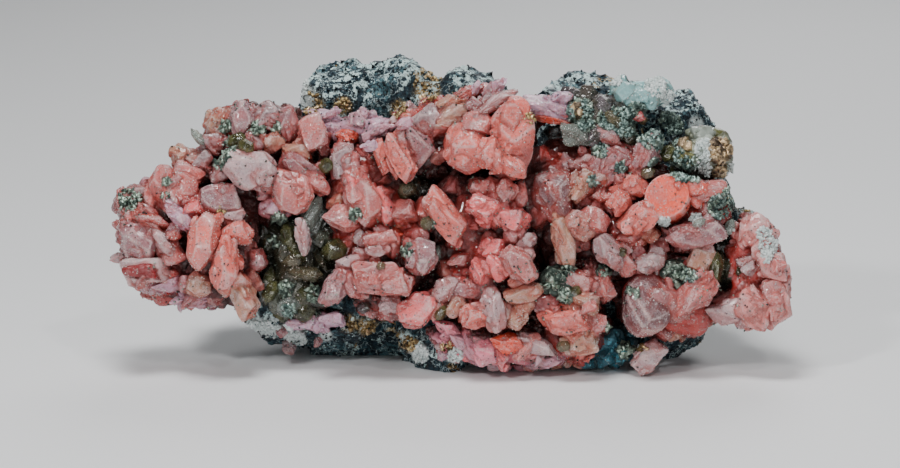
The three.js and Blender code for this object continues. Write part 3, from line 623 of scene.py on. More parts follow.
class Value:
    """A number that varies over a surface: the output of a shader node. Sums on it add Math nodes."""

    def __init__(self, finish, socket):
        self.finish = finish
        self.socket = socket

    def math(self, operation, *others):
        """The output of one Math node, with all its inputs given."""
        return self.finish.node("Math", {"operation": operation}, dict(enumerate(others)))[0]

    def __add__(self, other):
        return self.math("ADD", self, other)

    def __sub__(self, other):
        return self.math("SUBTRACT", self, other)

    def __rsub__(self, other):
        return self.math("SUBTRACT", other, self)

    def __mul__(self, other):
        return self.math("MULTIPLY", self, other)

    __radd__ = __add__
    __rmul__ = __mul__

    def ramp(self, low, high):
        """0 at low, 1 at high, and a smooth step between."""
        settings = {"interpolation_type": "SMOOTHSTEP"}
        return self.finish.node("MapRange", settings, {0: self, 1: low, 2: high})[0]


class Finish:
    """One material, as nodes."""

    def __init__(self, name):
        self.material = bpy.data.materials.new(name)
        self.material.use_nodes = True
        self.tree = self.material.node_tree
        self.tree.nodes.clear()

    def node(self, kind, settings, sockets):
        """Adds a node: its type, its settings, which are set first, and its sockets' values or links.
        Returns its outputs."""
        made = self.tree.nodes.new("ShaderNode" + kind)
        for name, setting in settings.items():
            setattr(made, name, setting)
        for key, value in sockets.items():
            if isinstance(value, Value):
                self.tree.links.new(value.socket, made.inputs[key])
            else:
                made.inputs[key].default_value = value
        return [Value(self, socket) for socket in made.outputs]

    def attribute(self, name):
        """Outputs of a mesh attribute: its colour, vector and number."""
        return self.node("Attribute", {"attribute_name": name}, {})

    def parts(self, vector):
        """A vector's three numbers."""
        return self.node("SeparateXYZ", {}, {0: vector})

    def place(self):
        """Where the point is in the frame, in millimetres."""
        metres = self.node("TexCoord", {}, {})[3]
        return self.node("VectorMath", {"operation": "SCALE"}, {0: metres, "Scale": 1000.0})[0]

    def noise(self, vector, scale, detail=3, roughness=0.55):
        """Noise from 0 to 1, with scale lumps to the unit of the vector."""
        sockets = {"Vector": vector, "Scale": scale, "Detail": detail, "Roughness": roughness}
        return self.node("TexNoise", {}, sockets)[0]

    def specks(self, vector, scale, small, large):
        """1 in dots of about the radius small, one to each cell, 0 past the radius large."""
        cells = self.node("TexVoronoi", {}, {"Vector": vector, "Scale": scale})
        return 1 - cells[0].ramp(small, large)

    def blend(self, factor, one, other):
        """A colour between two."""
        return self.node("Mix", {"data_type": "RGBA"}, {0: factor, 6: one, 7: other})[2]

    def bump(self, height, distance):
        """A normal for a surface whose height, in metres, is the value times the distance."""
        return self.node("Bump", {}, {"Strength": 1.0, "Distance": distance, "Height": height})[0]

    def surface(self, **sockets):
        """The shader itself, whose sockets are named with _ for a space."""
        named = {name.replace("_", " "): value for name, value in sockets.items()}
        shader = self.node("BsdfPrincipled", {}, named)[0]
        self.node("OutputMaterial", {}, {"Surface": shader})
        return self.material


def colour(red, green, blue):
    """A colour as the four numbers a node takes."""
    return (red, green, blue, 1)


def rhodochrosite_finish(name, frosting, painted_shade):
    """Pink and translucent: painted shade, darker and redder, where crystals meet, on the undersides, in
    the gaps between them and towards each crystal's back, with the red of light shining through painted
    in; paler and frosted along free edges, with growth lines across each crystal's axis, and specks of
    sulphide and of quartz, the white ones partly painted glints. The tint's alpha is 1 on a face as it
    grew, and 0 on a clean broken one, which has none of that."""
    finish = Finish(name)
    place = finish.attribute("own_place")[1]
    edge, contact, root = finish.parts(finish.attribute("growth")[1])
    sunk = finish.attribute("sunk")[2]
    tint = finish.attribute("tint")
    grown = tint[3]
    up = finish.parts(finish.node("NewGeometry", {}, {})[1])[2]
    mottle = finish.noise(place, 0.45, 4)
    cloud = finish.noise(place, 0.16, 2)
    grain = finish.noise(place, 2.6, 3, 0.75)
    along = finish.parts(place)[2] + 0.5 * cloud
    lines = finish.noise(finish.node("CombineXYZ", {}, {0: 0.0, 1: 0.0, 2: along})[0], 2.6, 4, 0.7)
    druse = finish.noise(place, 5.0, 2, 0.6).ramp(0.56, 0.66)
    patches = finish.noise(place, 0.7, 4, 0.65).ramp(0.48, 0.66)
    base = finish.blend(mottle.ramp(0.4, 0.7) * grown * 0.18, tint[0], colour(0.84, 0.20, 0.16))
    base = finish.blend(cloud.ramp(0.45, 0.7) * grown * 0.5, base, colour(0.34, 0.17, 0.18))
    frosted = finish.blend(0.55, tint[0], colour(0.72, 0.60, 0.61))
    base = finish.blend(lines.ramp(0.5, 0.62) * grown * 0.4, base, frosted)
    base = finish.blend((1 - lines.ramp(0.36, 0.5)) * grown * 0.25, base, colour(0.36, 0.07, 0.065))
    weathered = grown * (1 - sunk.ramp(0.04, 0.3) * 0.8)
    free = 1 - contact.ramp(0.3, 0.9)
    frost = (edge.ramp(0.86, 1.0) * free + patches) * grain.ramp(0.36, 0.58) * weathered
    rim = edge.ramp(0.92, 1.0) * free * weathered
    base = finish.blend(frost * frosting, base, frosted)
    base = finish.blend(rim * 0.45, base, colour(0.78, 0.56, 0.52))
    # Painted shade: the undersides, which face away from the light, and where crystals meet turn darker
    # red, for shade and for the red of light shining through.
    deep = (1 - up.ramp(-0.9, 0.1)) * (0.3 * painted_shade) + contact.ramp(0.55, 1.0) * (0.45 * painted_shade)
    base = finish.blend(deep * grown, base, colour(0.60, 0.06, 0.03))
    # Painted shade: deeper red in the gaps below the crystals round them and towards each crystal's back.
    gap_and_back_shade = sunk.ramp(0.06, 0.4) * (0.7 * painted_shade) + root.ramp(0.6, 1.0) * (0.45 * painted_shade)
    base = finish.blend(gap_and_back_shade * grown, base, colour(0.42, 0.020, 0.012))
    # Painted shade: near black deep in the gaps.
    base = finish.blend(sunk.ramp(0.16, 0.6) * 0.96, base, colour(0.05, 0.005, 0.004))
    dust = finish.specks(place, 1.3, 0.13, 0.24) * finish.noise(place, 0.3, 2).ramp(0.48, 0.6)
    base = finish.blend(dust * weathered, base, colour(0.035, 0.03, 0.025))
    # White specks: partly quartz druse, partly painted glints.
    druse_and_glints = (finish.specks(place, 1.6, 0.10, 0.20) + druse * 0.8) * (patches * 0.8 + 0.12) * weathered
    base = finish.blend(druse_and_glints, base, colour(0.92, 0.86, 0.85))
    height = lines * 0.8 + grain * 0.7 + mottle * 0.9 + patches * 0.3 + druse * patches * 0.5
    return finish.surface(
        Base_Color=base,
        Roughness=0.08 + 0.25 * frost + 0.22 * grain,
        Normal=finish.bump(height, 0.0004),
        IOR=1.6,
        Subsurface_Weight=0.3,
        Subsurface_Radius=(1.0, 0.26, 0.2),
        Subsurface_Scale=0.0016,
        Coat_Weight=0.5,
        Coat_Roughness=0.08,
    )


RHODOCHROSITE = rhodochrosite_finish("rhodochrosite", 0.6, 1.0)
groups = []
for count, (place, rows) in enumerate(GROUPS.items()):
    group = crystal_group("crystals_" + place, rows, 100 * count + 7)
    group.data.materials.append(RHODOCHROSITE)
    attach(group, "root")
    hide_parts("rhodochrosite_" + place)
    groups.append(group)


# Lilac rhodochrosite. The crystals along the lower edge and the crusts at the top and lower left
# are broken: thin splintered layers with a lilac or magenta colour and white, glinting edges.
LOWER_EDGE = [
    (9, 6, -2.5, 24, 7, 8, -6, 0, 0, "massive", "magenta"),
    (-0.4, 8.8, 2, 5.6, 2.6, 4, -22, 0, 0, "shard", "magenta"),
    (2.4, 6.4, 1.5, 7.8, 3.2, 4, -32, 0, 0, "shard", "lilac"),
    (6, 4.6, 2.5, 6.6, 5, 4, -30, 10, 0, "shard", "magenta"),
    (10.6, 6, 3, 7.6, 4, 4, -14, 0, 10, "shard", "orange"),
    (15.2, 5.8, 2.5, 8.4, 3.4, 4, -28, 0, 0, "shard", "pale"),
    (17.4, 2.9, 0.5, 6.8, 2.4, 4, 12, 0, 0, "shard", "lilac"),
]
LILAC_LEFT = [
    (-16.6, 44, -3.5, 14, 4, 6, 4, 0, 0, "massive", "violet"),
    (-22.4, 46.2, -3, 7.8, 2.4, 4, -12, 0, 0, "shard", "violet"),
    (-12.6, 43.2, -0.5, 8, 3.6, 4, 20, 0, 0, "shard", "lilac"),
]
LILAC_RIGHT = [
    (17, 47.4, -0.5, 11, 4, 7, -12, 10, 0, "block", "violet"),
    (19.4, 49, -1, 5.4, 2.8, 4, 20, 0, 0, "shard", "violet"),
    (17.5, 45.8, 0.5, 8, 1.6, 4, -14, 10, 0, "shard", "orange"),
]
LILAC_LOW = [
    (-25.2, 9.5, -6, 8.4, 2.8, 6, 6, 0, 0, "block", "violet"),
    (-20.8, 10.2, -5, 4.6, 2.8, 5, 0, 0, 0, "hex", "violet"),
]
LILAC = rhodochrosite_finish("lilac_rhodochrosite", 0.45, 0.3)
for count, (node, rows) in enumerate({
    "rhodochrosite_lower_edge": LOWER_EDGE,
    "lilac_crust_left": LILAC_LEFT,
    "lilac_crust_right": LILAC_RIGHT,
    "lilac_crust_low": LILAC_LOW,
}.items()):
    seed = 3000 + 100 * count
    crust = crystal_group("splinters_" + node, rows, seed, ("shard", "block"), 1.7, (1.6, 4.2))
    crust.data.materials.append(LILAC)
    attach(crust, "root")
    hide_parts(node)
    groups.append(crust)


# Quartz. Small six-sided crystals with pointed ends: smoky and olive brown in the hollows between
# the pink crystals, milky and greenish along the upper right. They stand at all angles, in clumps.
POINTED = directions(*((60 * turn, 62) for turn in range(3)), *((60 * turn, 118) for turn in range(3)))
HABITS["point"] = (np.concatenate([1.0 * SIDES, 0.62 * POINTED])[:, [2, 1, 0]], 44)
TINTS["smoky"] = (0.30, 0.25, 0.15)
TINTS["olive"] = (0.22, 0.22, 0.08)
TINTS["milky"] = (0.50, 0.56, 0.50)
TINTS["aqua"] = (0.30, 0.53, 0.53)
TINTS["purplish"] = (0.36, 0.31, 0.33)
QUARTZ = {
    "quartz_pocket": [
        (-26, 20, -6, 15, 18, 11, 0, 0, 0, "massive", "smoky"),
        (-23.4, 27.6, -0.5, 9, 3.8, 4, 64, 0, 0, "point", "milky"),
        (-27.8, 25.8, -1, 6.4, 3, 3.4, 112, 0, 0, "point", "olive"),
        (-27, 22.4, 0, 5.6, 2.6, 3, -52, 0, 0, "point", "olive"),
        (-25.2, 18.4, 0, 7.4, 2.8, 3.4, -10, 0, 0, "point", "smoky"),
        (-20.8, 22.4, -0.6, 5.2, 4, 5, 30, 0, 0, "point", "olive"),
        (-32.2, 16.6, -2, 6.6, 3.2, 3.6, 74, 0, 0, "point", "olive"),
        (-28.6, 12.6, -3, 6, 3.6, 4, 10, 0, 0, "point", "milky"),
    ],
    "quartz_middle": [
        (-7, 33, -1.5, 5, 4.4, 5, 20, 0, 0, "massive", "smoky"),
        (-7.4, 33, 1.5, 5.2, 3.2, 3.6, 55, 0, 0, "point", "olive"),
        (-4.7, 33.1, 1, 4, 2.8, 3.2, 30, 0, 0, "point", "smoky"),
    ],
    "quartz_upper_right": [
        (25.4, 45, -5, 13, 9, 9.5, 0, 0, 0, "massive", "smoky"),
        (22.2, 43, 1.5, 7, 5, 5, -34, 10, 10, "shard", "milky"),
        (25.4, 42.4, 1, 4.6, 3.4, 4, 20, 0, 0, "shard", "purplish"),
        (26.9, 48, -3, 4.6, 3.6, 4, 50, 0, 0, "point", "purplish"),
        (30.9, 43, -1, 7, 2.8, 3.2, -50, 0, 0, "point", "smoky"),
    ],
    "quartz_pale": [
        (33.4, 49.8, -5.5, 8.2, 4.8, 6, 8, 0, 0, "massive", "aqua"),
        (31, 50.2, -2.4, 5, 3.6, 4, 40, 0, 0, "point", "aqua"),
        (34.6, 49.2, -2.4, 5, 3.8, 4, -30, 0, 0, "block", "aqua"),
    ],
    "quartz_right": [
        (44.4, 38.6, -5, 9, 7.6, 8, 30, 0, 0, "massive", "milky"),
        (41.2, 38.5, 0, 7, 2.8, 3.4, -16, 0, 0, "point", "olive"),
        (45, 40, -1.5, 5.6, 3.2, 4, 50, 0, 0, "point", "milky"),
    ],
    "quartz_lower_right": [
        (49, 21.6, -4.6, 6.4, 13, 9, 0, 0, 0, "massive", "smoky"),
        (48.9, 26.4, -1, 5, 2.8, 3.4, 80, 0, 0, "point", "milky"),
        (47.2, 19, 0.5, 7.6, 3, 3.6, 80, 0, 0, "point", "olive"),
        (51.6, 18.4, 0, 5.6, 3.2, 3.6, -26, 0, 0, "point", "olive"),
    ],
}


def quartz_finish(name, clearness):
    """See-through, tinted crystal by crystal, with milky clouds, dark flaws and frosted edges, and
    painted shade, near black, in the gaps.
    """
    finish = Finish(name)
    place = finish.attribute("own_place")[1]
    edge = finish.parts(finish.attribute("growth")[1])[0]
    sunk = finish.attribute("sunk")[2]
    cloud = finish.noise(place, 0.5, 4, 0.65)
    grain = finish.noise(place, 3.0, 3)
    base = finish.attribute("tint")[0]
    base = finish.blend(cloud.ramp(0.52, 0.7) * 0.45, base, colour(0.46, 0.47, 0.36))
    flaws = finish.noise(place, 0.5, 3).ramp(0.48, 0.62)
    flaws = flaws * (1 - finish.parts(finish.attribute("tint")[0])[1].ramp(0.3, 0.5))
    base = finish.blend(flaws * 0.75, base, colour(0.05, 0.045, 0.015))
    # Painted shade: near black deep in the gaps.
    base = finish.blend(sunk.ramp(0.02, 0.5) * 0.9, base, colour(0.012, 0.012, 0.008))
    frost = edge.ramp(0.9, 1.0) * grain.ramp(0.4, 0.6)
    base = finish.blend(frost * 0.18, base, colour(0.70, 0.72, 0.64))
    return finish.surface(
        Base_Color=base,
        Roughness=0.05 + 0.2 * frost + 0.06 * cloud,
        Normal=finish.bump(grain * 0.3 + cloud, 0.0001),
        IOR=1.544,
        Transmission_Weight=clearness,
    )


QUARTZ_SHARP_ANGLE = 18
SMOKY = quartz_finish("smoky_quartz", 0.7)
MILKY = quartz_finish("milky_quartz", 0.2)
for count, (node, rows) in enumerate(QUARTZ.items()):
    clump = crystal_group(node + "_crystals", rows, 5000 + 100 * count, ("shard", "point", "block"),
                          2.6, (3, 6.4), sharp_angle=QUARTZ_SHARP_ANGLE)
    milky = node in ("quartz_pale", "quartz_right")
    clump.data.materials.append(MILKY if milky else SMOKY)
    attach(clump, "root")
    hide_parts(node)
    groups.append(clump)


# Metal sulphides grown on the quartz: green-black tetrahedrite, which glints pale green where its
# faces catch the light, blue-black sphalerite at the foot, and bronze pyrite on the right shoulder.
TETRAHEDRON = np.array([[1, 1, 1], [1, -1, -1], [-1, 1, -1], [-1, -1, 1]]) / 1.2
HABITS["tetrahedron"] = (TETRAHEDRON, 40)
TINTS["green_black"] = (0.05, 0.075, 0.06)
TINTS["blue_black"] = (0.05, 0.16, 0.21)
TINTS["bronze"] = (0.12, 0.08, 0.045)
SULPHIDES = {
    "tetrahedrite_low": [
        (19.2, 16.4, 1, 6, 6.4, 8, 20, 0, 0, "massive", "green_black"),
        (18, 17.4, 4.2, 4.4, 3.8, 3.4, 20, 0, 0, "tetrahedron", "green_black"),
        (20.5, 14.4, 4.6, 3.8, 3.4, 3.4, -30, 0, 0, "tetrahedron", "green_black"),
    ],
    "tetrahedrite_right": [
        (40, 18.6, 0, 5, 5, 7, 0, 0, 0, "massive", "green_black"),
        (39.4, 19, 3, 3.6, 3.2, 3, 0, 0, 0, "tetrahedron", "green_black"),
    ],
    "blue_sphalerite": [
        (28, 5.4, -5.5, 9, 6.4, 7, 10, 0, 0, "massive", "blue_black"),
        (27.5, 3.4, -2, 4.4, 3.6, 4, 60, 0, 0, "tetrahedron", "blue_black"),
        (24.4, 2.6, -3.5, 4, 2.4, 4, 20, 0, 0, "tetrahedron", "blue_black"),
        (31.2, 4.6, -2.5, 4, 3.4, 4, 0, 0, 0, "tetrahedron", "green_black"),
    ],
    "pyrite_shoulder": [
        (47.2, 40.6, -5, 5.6, 6.4, 6, 60, 0, 0, "shard", "bronze"),
        (45.6, 37.6, -4.5, 4, 4.4, 6, 20, 0, 0, "shard", "bronze"),
    ],
}


def sulphide_finish(name, bright):
    """A metallic mineral whose faces are partly tarnished, with the bright colour where clean, and
    painted shade, near black, in the gaps.
    """
    finish = Finish(name)
    place = finish.attribute("own_place")[1]
    sunk = finish.attribute("sunk")[2]
    tarnish = finish.noise(place, 0.45, 3, 0.6)
    grain = finish.noise(place, 2.6, 3)
    base = finish.blend(tarnish.ramp(0.5, 0.62), finish.attribute("tint")[0], bright)
    # Painted shade: near black deep in the gaps.
    base = finish.blend(sunk.ramp(0.2, 0.9) * 0.8, base, colour(0.02, 0.02, 0.02))
    return finish.surface(
        Base_Color=base,
        Metallic=0.55 + 0.4 * tarnish.ramp(0.45, 0.62),
        Roughness=0.2 + 0.3 * grain,
        Normal=finish.bump(grain + tarnish, 0.0002),
    )


SULPHIDE_FINISHES = {
    "tetrahedrite": sulphide_finish("tetrahedrite", colour(0.46, 0.56, 0.47)),
    "sphalerite": sulphide_finish("blue_sphalerite", colour(0.16, 0.50, 0.62)),
    "pyrite": sulphide_finish("bronze_pyrite", colour(0.80, 0.58, 0.34)),
}
for count, (node, rows) in enumerate(SULPHIDES.items()):
    seed = 7000 + 100 * count
    cluster = crystal_group(node + "_crystals", rows, seed, ("tetrahedron", "block"), 1.7, (1.5, 3.4))
    slot = next(slot for slot in SULPHIDE_FINISHES if slot in node)
    cluster.data.materials.append(SULPHIDE_FINISHES[slot])
    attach(cluster, "root")
    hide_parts(node)
    groups.append(cluster)


# The rock the crystals grew on: blue-black sulphide ore, broken off rough all round, with a thin
# pale crust of fine quartz over its upper parts and veins and patches of brown-gold ore.
ROCK_GRAIN = 0.00058
ROUGHNESS = ((7, 1.1), (2.6, 0.8), (1.1, 0.45), (0.55, 0.2))  # cells and depths in millimetres
BASE_HEIGHT = 0.2
rock = bpy.data.objects.new("rock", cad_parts["matrix_rock"].data.copy())
bpy.context.scene.collection.objects.link(rock)
merge = rock.modifiers.new("merge", "WELD")
merge.merge_threshold = 0.001 * MM
remesh = rock.modifiers.new("even", "REMESH")
remesh.mode, remesh.voxel_size = "VOXEL", ROCK_GRAIN
rock.data = bpy.data.meshes.new_from_object(rock.evaluated_get(bpy.context.evaluated_depsgraph_get()))
rock.modifiers.clear()
rock.data.materials.clear()


def normals(mesh):
    """The directions a mesh's corners face, as an array."""
    values = np.empty(3 * len(mesh.vertices), np.float32)
    mesh.vertex_normals.foreach_get("vector", values)
    return values.reshape(-1, 3).astype(float)


def roughened(points, facing):
    """Points moved in along their normals by folded noise |n|, over cells of a few sizes, which
    leaves ridges and hollows like those of broken rock. The flat base stays on the ground."""
    depth = sum(height * np.abs(lattice_noise(points / MM + 90, cell, 31)) for cell, height in ROUGHNESS)
    moved = points - facing * (depth * MM)[:, None]
    return np.where(points[:, 2:] < BASE_HEIGHT * MM, points, moved)


rock_points = roughened(corners(rock.data), normals(rock.data))
rock.data.vertices.foreach_set("co", rock_points.astype(np.float32).ravel())
rock.data.update()
rock.data.shade_smooth()

# Where on the face the rock has a white crust and where gold-brown ore: across, up and radius.
WHITE_CRUST = [
    (-35, 8.4, 2.6), (-31.5, 8, 2.8), (-28, 6.8, 2.4), (-26.4, 49.6, 2.6), (-26.6, 52.4, 1.6),
    (-5.4, 4.2, 1.8), (0.6, 4, 1.6), (32.5, 50, 3.6), (36.6, 50.6, 2), (-23, 55, 1.6), (-11, 56.6, 1.5),
    (27, 54.6, 1.8), (18.4, 53, 1.8), (55, 23.6, 3), (50, 36, 2), (46, 39, 2.4), (44, 45, 1.4),
    (-22, 7.2, 1.2),
]
GOLD_ORE = [
    (-18, 9.4, 1.8), (-15, 8.9, 1.8), (-12, 8, 1.8), (-9, 6.6, 1.7), (-6.4, 5.2, 1.6), (-0.6, 5.4, 1.1),
    (-24.5, 48.4, 2.2), (-19, 48, 1.8), (-9, 47.4, 1.8), (-4, 50.4, 2.4), (-2.6, 53.8, 1.6),
    (47.6, 40.4, 3), (50, 33, 1.8), (52.6, 30.6, 1.8), (20.6, 52.2, 1.4), (-33, 5.8, 1.2),
    (24.6, 50.6, 1.6), (41, 41, 1.6),
]


BEHIND = -12  # out of the face: what is further back is not on it
SPOT_EDGE = 1.3


def closeness(points, table):
    """How much further in than SPOT_EDGE times the radius of a spot on the face points are, as a
    share of that radius, from 0 to 1, for the nearest of the table's spots."""
    spots = np.array(table)
    apart = np.linalg.norm(points[:, None, :2] - spots[:, :2], axis=-1) / spots[:, 2]
    return np.clip(SPOT_EDGE - apart.min(1), 0, 1) * (points[:, 2] > BEHIND)


rock_spots = on_face(rock_points)
stains = [closeness(rock_spots, WHITE_CRUST), closeness(rock_spots, GOLD_ORE), np.zeros(len(rock_spots))]
put_attribute(rock.data, "stains", "FLOAT_VECTOR", np.stack(stains, -1))


def rock_finish():
    """Blue-black ore with grains and white painted glints, brown-gold patches, and a pale crust of fine
    quartz, thickest on what faces up, broken through everywhere and drawn out in thin crooked veins."""
    finish = Finish("sulphide_rock")
    place = finish.place()
    aside = finish.node("VectorMath", {"operation": "ADD"}, {0: place, 1: (70, 0, 0)})[0]
    up = finish.parts(finish.node("NewGeometry", {}, {})[1])[2]
    grain = finish.noise(place, 1.6, 4, 0.7)
    patches = finish.noise(place, 0.2, 4, 0.7)
    gold = finish.noise(aside, 0.16, 4, 0.75)
    crust = finish.noise(place, 0.5, 5, 0.68)
    fold = finish.noise(aside, 0.22, 4, 0.7) - 0.5
    vein = 1 - fold.math("ABSOLUTE", fold).ramp(0.003, 0.016)
    base = finish.blend(grain.ramp(0.38, 0.62), colour(0.002, 0.006, 0.011), colour(0.018, 0.052, 0.075))
    base = finish.blend(patches.ramp(0.5, 0.6) * grain.ramp(0.4, 0.6), base, colour(0.09, 0.20, 0.23))
    crusted, golden, _ = finish.parts(finish.attribute("stains")[1])
    golden = golden + gold.ramp(0.6, 0.66)
    base = finish.blend(golden.ramp(0, 1) * grain.ramp(0.4, 0.52), base, colour(0.42, 0.25, 0.06))
    base = finish.blend(golden.ramp(0.3, 1) * grain.ramp(0.54, 0.6), base, colour(0.85, 0.80, 0.62))
    white = (crust + up.ramp(-0.1, 0.9) * 0.09).ramp(0.59, 0.625) * grain.ramp(0.36, 0.5)
    base = finish.blend(white, base, colour(0.72, 0.93, 0.91))
    base = finish.blend(crusted.ramp(0.1, 0.7) * grain.ramp(0.38, 0.46), base, colour(0.86, 0.95, 0.93))
    base = finish.blend(vein * 0.7, base, colour(0.60, 0.74, 0.75))
    # Painted glints: white specks for light caught by the ore's grains.
    glint = finish.specks(place, 0.9, 0.12, 0.22) * grain.ramp(0.5, 0.6)
    base = finish.blend(glint, base, colour(0.85, 0.95, 0.92))
    return finish.surface(
        Base_Color=base,
        Metallic=0.12 * (1 - crust.ramp(0.5, 0.6)),
        Roughness=0.34 + 0.35 * crust,
        Normal=finish.bump(grain + crust + 0.5 * glint, 0.0008),
    )


rock.data.materials.append(rock_finish())
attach(rock, "root")
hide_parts("matrix_rock")


# How deep each point of a crystal lies below the crystals round it, which its finish uses to paint
# shade into the gaps. It is found from a map of the highest points, one to a square, smoothed over a few.
MAP_SIDE = 1.0
MAP_COUNT = (140, 70)
MAP_CORNER = (70, 5)
MAP_BLUR = 3
SUNK_DEPTH = 6.0


def square_of(points):
    """Which square of the map each point on the face is in."""
    squares = (points[..., :2] / MAP_SIDE + MAP_CORNER).astype(int)
    return tuple(np.clip(squares, 0, np.array(MAP_COUNT) - 1).T)


def smoothed(heights):
    """A map with each square made the mean of the five by five round it, a few times over."""
    for axis in (0, 1) * MAP_BLUR:
        heights = sum(np.roll(heights, shift, axis) for shift in (-2, -1, 0, 1, 2)) / 5
    return heights


spots = [on_face(corners(group.data)) for group in groups]
every = np.concatenate([*spots, rock_spots])
fronts = np.full(MAP_COUNT, float(BEHIND))
np.maximum.at(fronts, square_of(every), every[:, 2])
heights = smoothed(fronts)
for group, points in zip(groups, spots):
    sunk = np.clip((heights[square_of(points)] - points[:, 2]) / SUNK_DEPTH, 0, 1)
    put_attribute(group.data, "sunk", "FLOAT", sunk)


# Odd crystals that stand on the others: clear, olive and smoky quartz points, and on the foot of
# the rock small pink knobs. Each is seated at the front of what is there.
QUARTZ_POINTS = [  # across, up, length, width, spin, tip and tint
    (-44.4, 42.4, 4.2, 1.5, 128, 0, "milky"), (-37.2, 41.7, 4.2, 3, 20, 30, "olive"),
    (-35.6, 40.6, 3.4, 2.4, -30, 0, "olive"), (-21.7, 37.3, 3.4, 2.6, 40, 20, "olive"),
    (-12, 19.7, 2, 1.4, 20, 40, "smoky"), (30, 22, 2.4, 1.8, 30, 20, "olive"),
    (22, 15, 3, 2, 60, 0, "olive"), (20, 5.6, 3, 2, 10, 20, "smoky"),
    (38.5, 39.5, 3.6, 2.6, 70, 0, "olive"), (34.8, 36, 3, 2, 20, 30, "smoky"),
    (49.3, 26.5, 3.4, 1.8, 70, 0, "milky"), (-2, 22, 1.2, 3, 4, 0, "milky"),
    (43.6, 27.2, 3, 1.4, 30, 0, "milky"), (-1.5, 11.5, 3.4, 1.8, 60, 0, "olive"),
    (29, 45.3, 5.6, 2.2, -48, 0, "smoky"), (-24.4, 28.8, 8, 3, 62, 0, "milky"),
    (-20, 22.6, 5, 3.4, 10, 30, "olive"), (46.6, 19, 6.6, 2.6, 82, 0, "olive"),
    (-28.4, 25, 5, 2.6, 100, 0, "olive"), (-27.4, 20.6, 4.4, 2.2, 10, 20, "smoky"),
    (-31.6, 15, 4.6, 2.4, 60, 0, "olive"), (27, 48, 4, 3.4, 40, 20, "purplish"),
    (-4, 27.2, 2.6, 2.2, 70, 30, "smoky"), (-7.4, 33.2, 3.6, 2.6, 20, 0, "smoky"),
    (-24.6, 18.4, 5, 2.2, -6, 0, "smoky"), (-15, 12.4, 3, 2.2, 20, 0, "purplish"),
]
PINK_KNOBS = [
    (-28.8, 5, 3, 2.6, 10, 0, "grey"), (-29.8, 8, 2.6, 2, 30, 0, "mauve"),
    (-23.5, 6, 2.2, 1.8, 50, 0, "mauve"), (-11, 12.5, 3, 2.2, 30, 0, "pale"),
    (57.4, 19.7, 3.4, 2.4, 60, 0, "salmon"), (57.2, 13.8, 3.4, 2.6, 20, 0, "salmon"),
    (33.5, 46, 2.2, 1.6, 20, 0, "rose"), (24.5, 12.5, 3.4, 2.2, 40, 0, "salmon"),
    (-14, 40.8, 3.2, 2, 10, 0, "violet"), (-20.5, 46.6, 4, 1.4, 30, 0, "violet"),
    (-8, 44.6, 3.6, 1.8, 16, 0, "lilac"), (9, 51.5, 3.6, 1.4, 50, 0, "violet"),
    (4.6, 51, 3.2, 1.4, 70, 0, "lilac"), (35, 20, 3, 2, 10, 20, "pale"),
]


def seated(rows, habit):
    """Rows for crystal_group, with each crystal half sunk in the front of what is there."""
    full = []
    for across, up, length, width, spin, tip, tint in rows:
        out = fronts[square_of(np.array([across, up]))]
        full.append((across, up, out - 0.1 * width, length, width, width, spin, tip, 0, habit, tint))
    return full


for name, rows, habit, finish, slot in (
    ("odd_quartz_points", QUARTZ_POINTS, "point", SMOKY, "quartz_smoky"),
    ("odd_pink_crystals", PINK_KNOBS, "rhomb", RHODOCHROSITE, "rhodochrosite"),
):
    full = seated(rows, habit)
    piece = crystal_group(name, full, 9000, filled=False, sharp_angle=QUARTZ_SHARP_ANGLE)
    piece.data.materials.append(finish)
    put_attribute(piece.data, "sunk", "FLOAT", np.zeros(len(piece.data.vertices)))
    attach(piece, "root")


# Fine grains scattered over the crystals and the rock: clusters of silvery green tetrahedrite,
# white quartz, gold-brown ore, and a dusting of pale and of black grains, all grown or stuck on.
# A grain's shape is its corners, one unit across, and the corner numbers of its triangles.
CUBE = (
    np.array(list(itertools.product((-0.5, 0.5), repeat=3))),
    np.array([
        [0, 1, 3], [0, 3, 2], [4, 6, 7], [4, 7, 5], [0, 4, 5], [0, 5, 1],
        [2, 3, 7], [2, 7, 6], [0, 2, 6], [0, 6, 4], [1, 5, 7], [1, 7, 3],
    ]),
)
GRAIN_TETRAHEDRON = (
    np.array([[1, 1, 1], [1, -1, -1], [-1, 1, -1], [-1, -1, 1]]) * 0.5,
    np.array([[0, 1, 2], [0, 3, 1], [0, 2, 3], [1, 3, 2]]),
)


def spike():
    """A six-sided point: a low corner, a ring of radius 0.3, a ring of radius 0.26 and a high corner."""
    around = np.radians(60 * np.arange(6))
    circle = np.stack([np.cos(around), np.sin(around), np.zeros(6)], -1)
    low, high = 0.3 * circle + (0, 0, -0.5), 0.26 * circle + (0, 0, 0.35)
    ring = 1 + np.arange(6)
    beside = np.roll(ring, -1)
    sides = [
        np.stack([np.zeros(6, int), beside, ring], -1),
        np.stack([ring, beside, beside + 6], -1),
        np.stack([ring, beside + 6, ring + 6], -1),
        np.stack([ring + 6, beside + 6, np.full(6, 13)], -1),
    ]
    return np.concatenate([[[0, 0, -0.6]], low, high, [[0, 0, 0.62]]]), np.concatenate(sides)


def triangles_of(mesh):
    """The corner numbers of a mesh's triangles."""
    mesh.calc_loop_triangles()
    numbers = np.empty(3 * len(mesh.loop_triangles), np.int32)
    mesh.loop_triangles.foreach_get("vertices", numbers)
    return numbers.reshape(-1, 3)


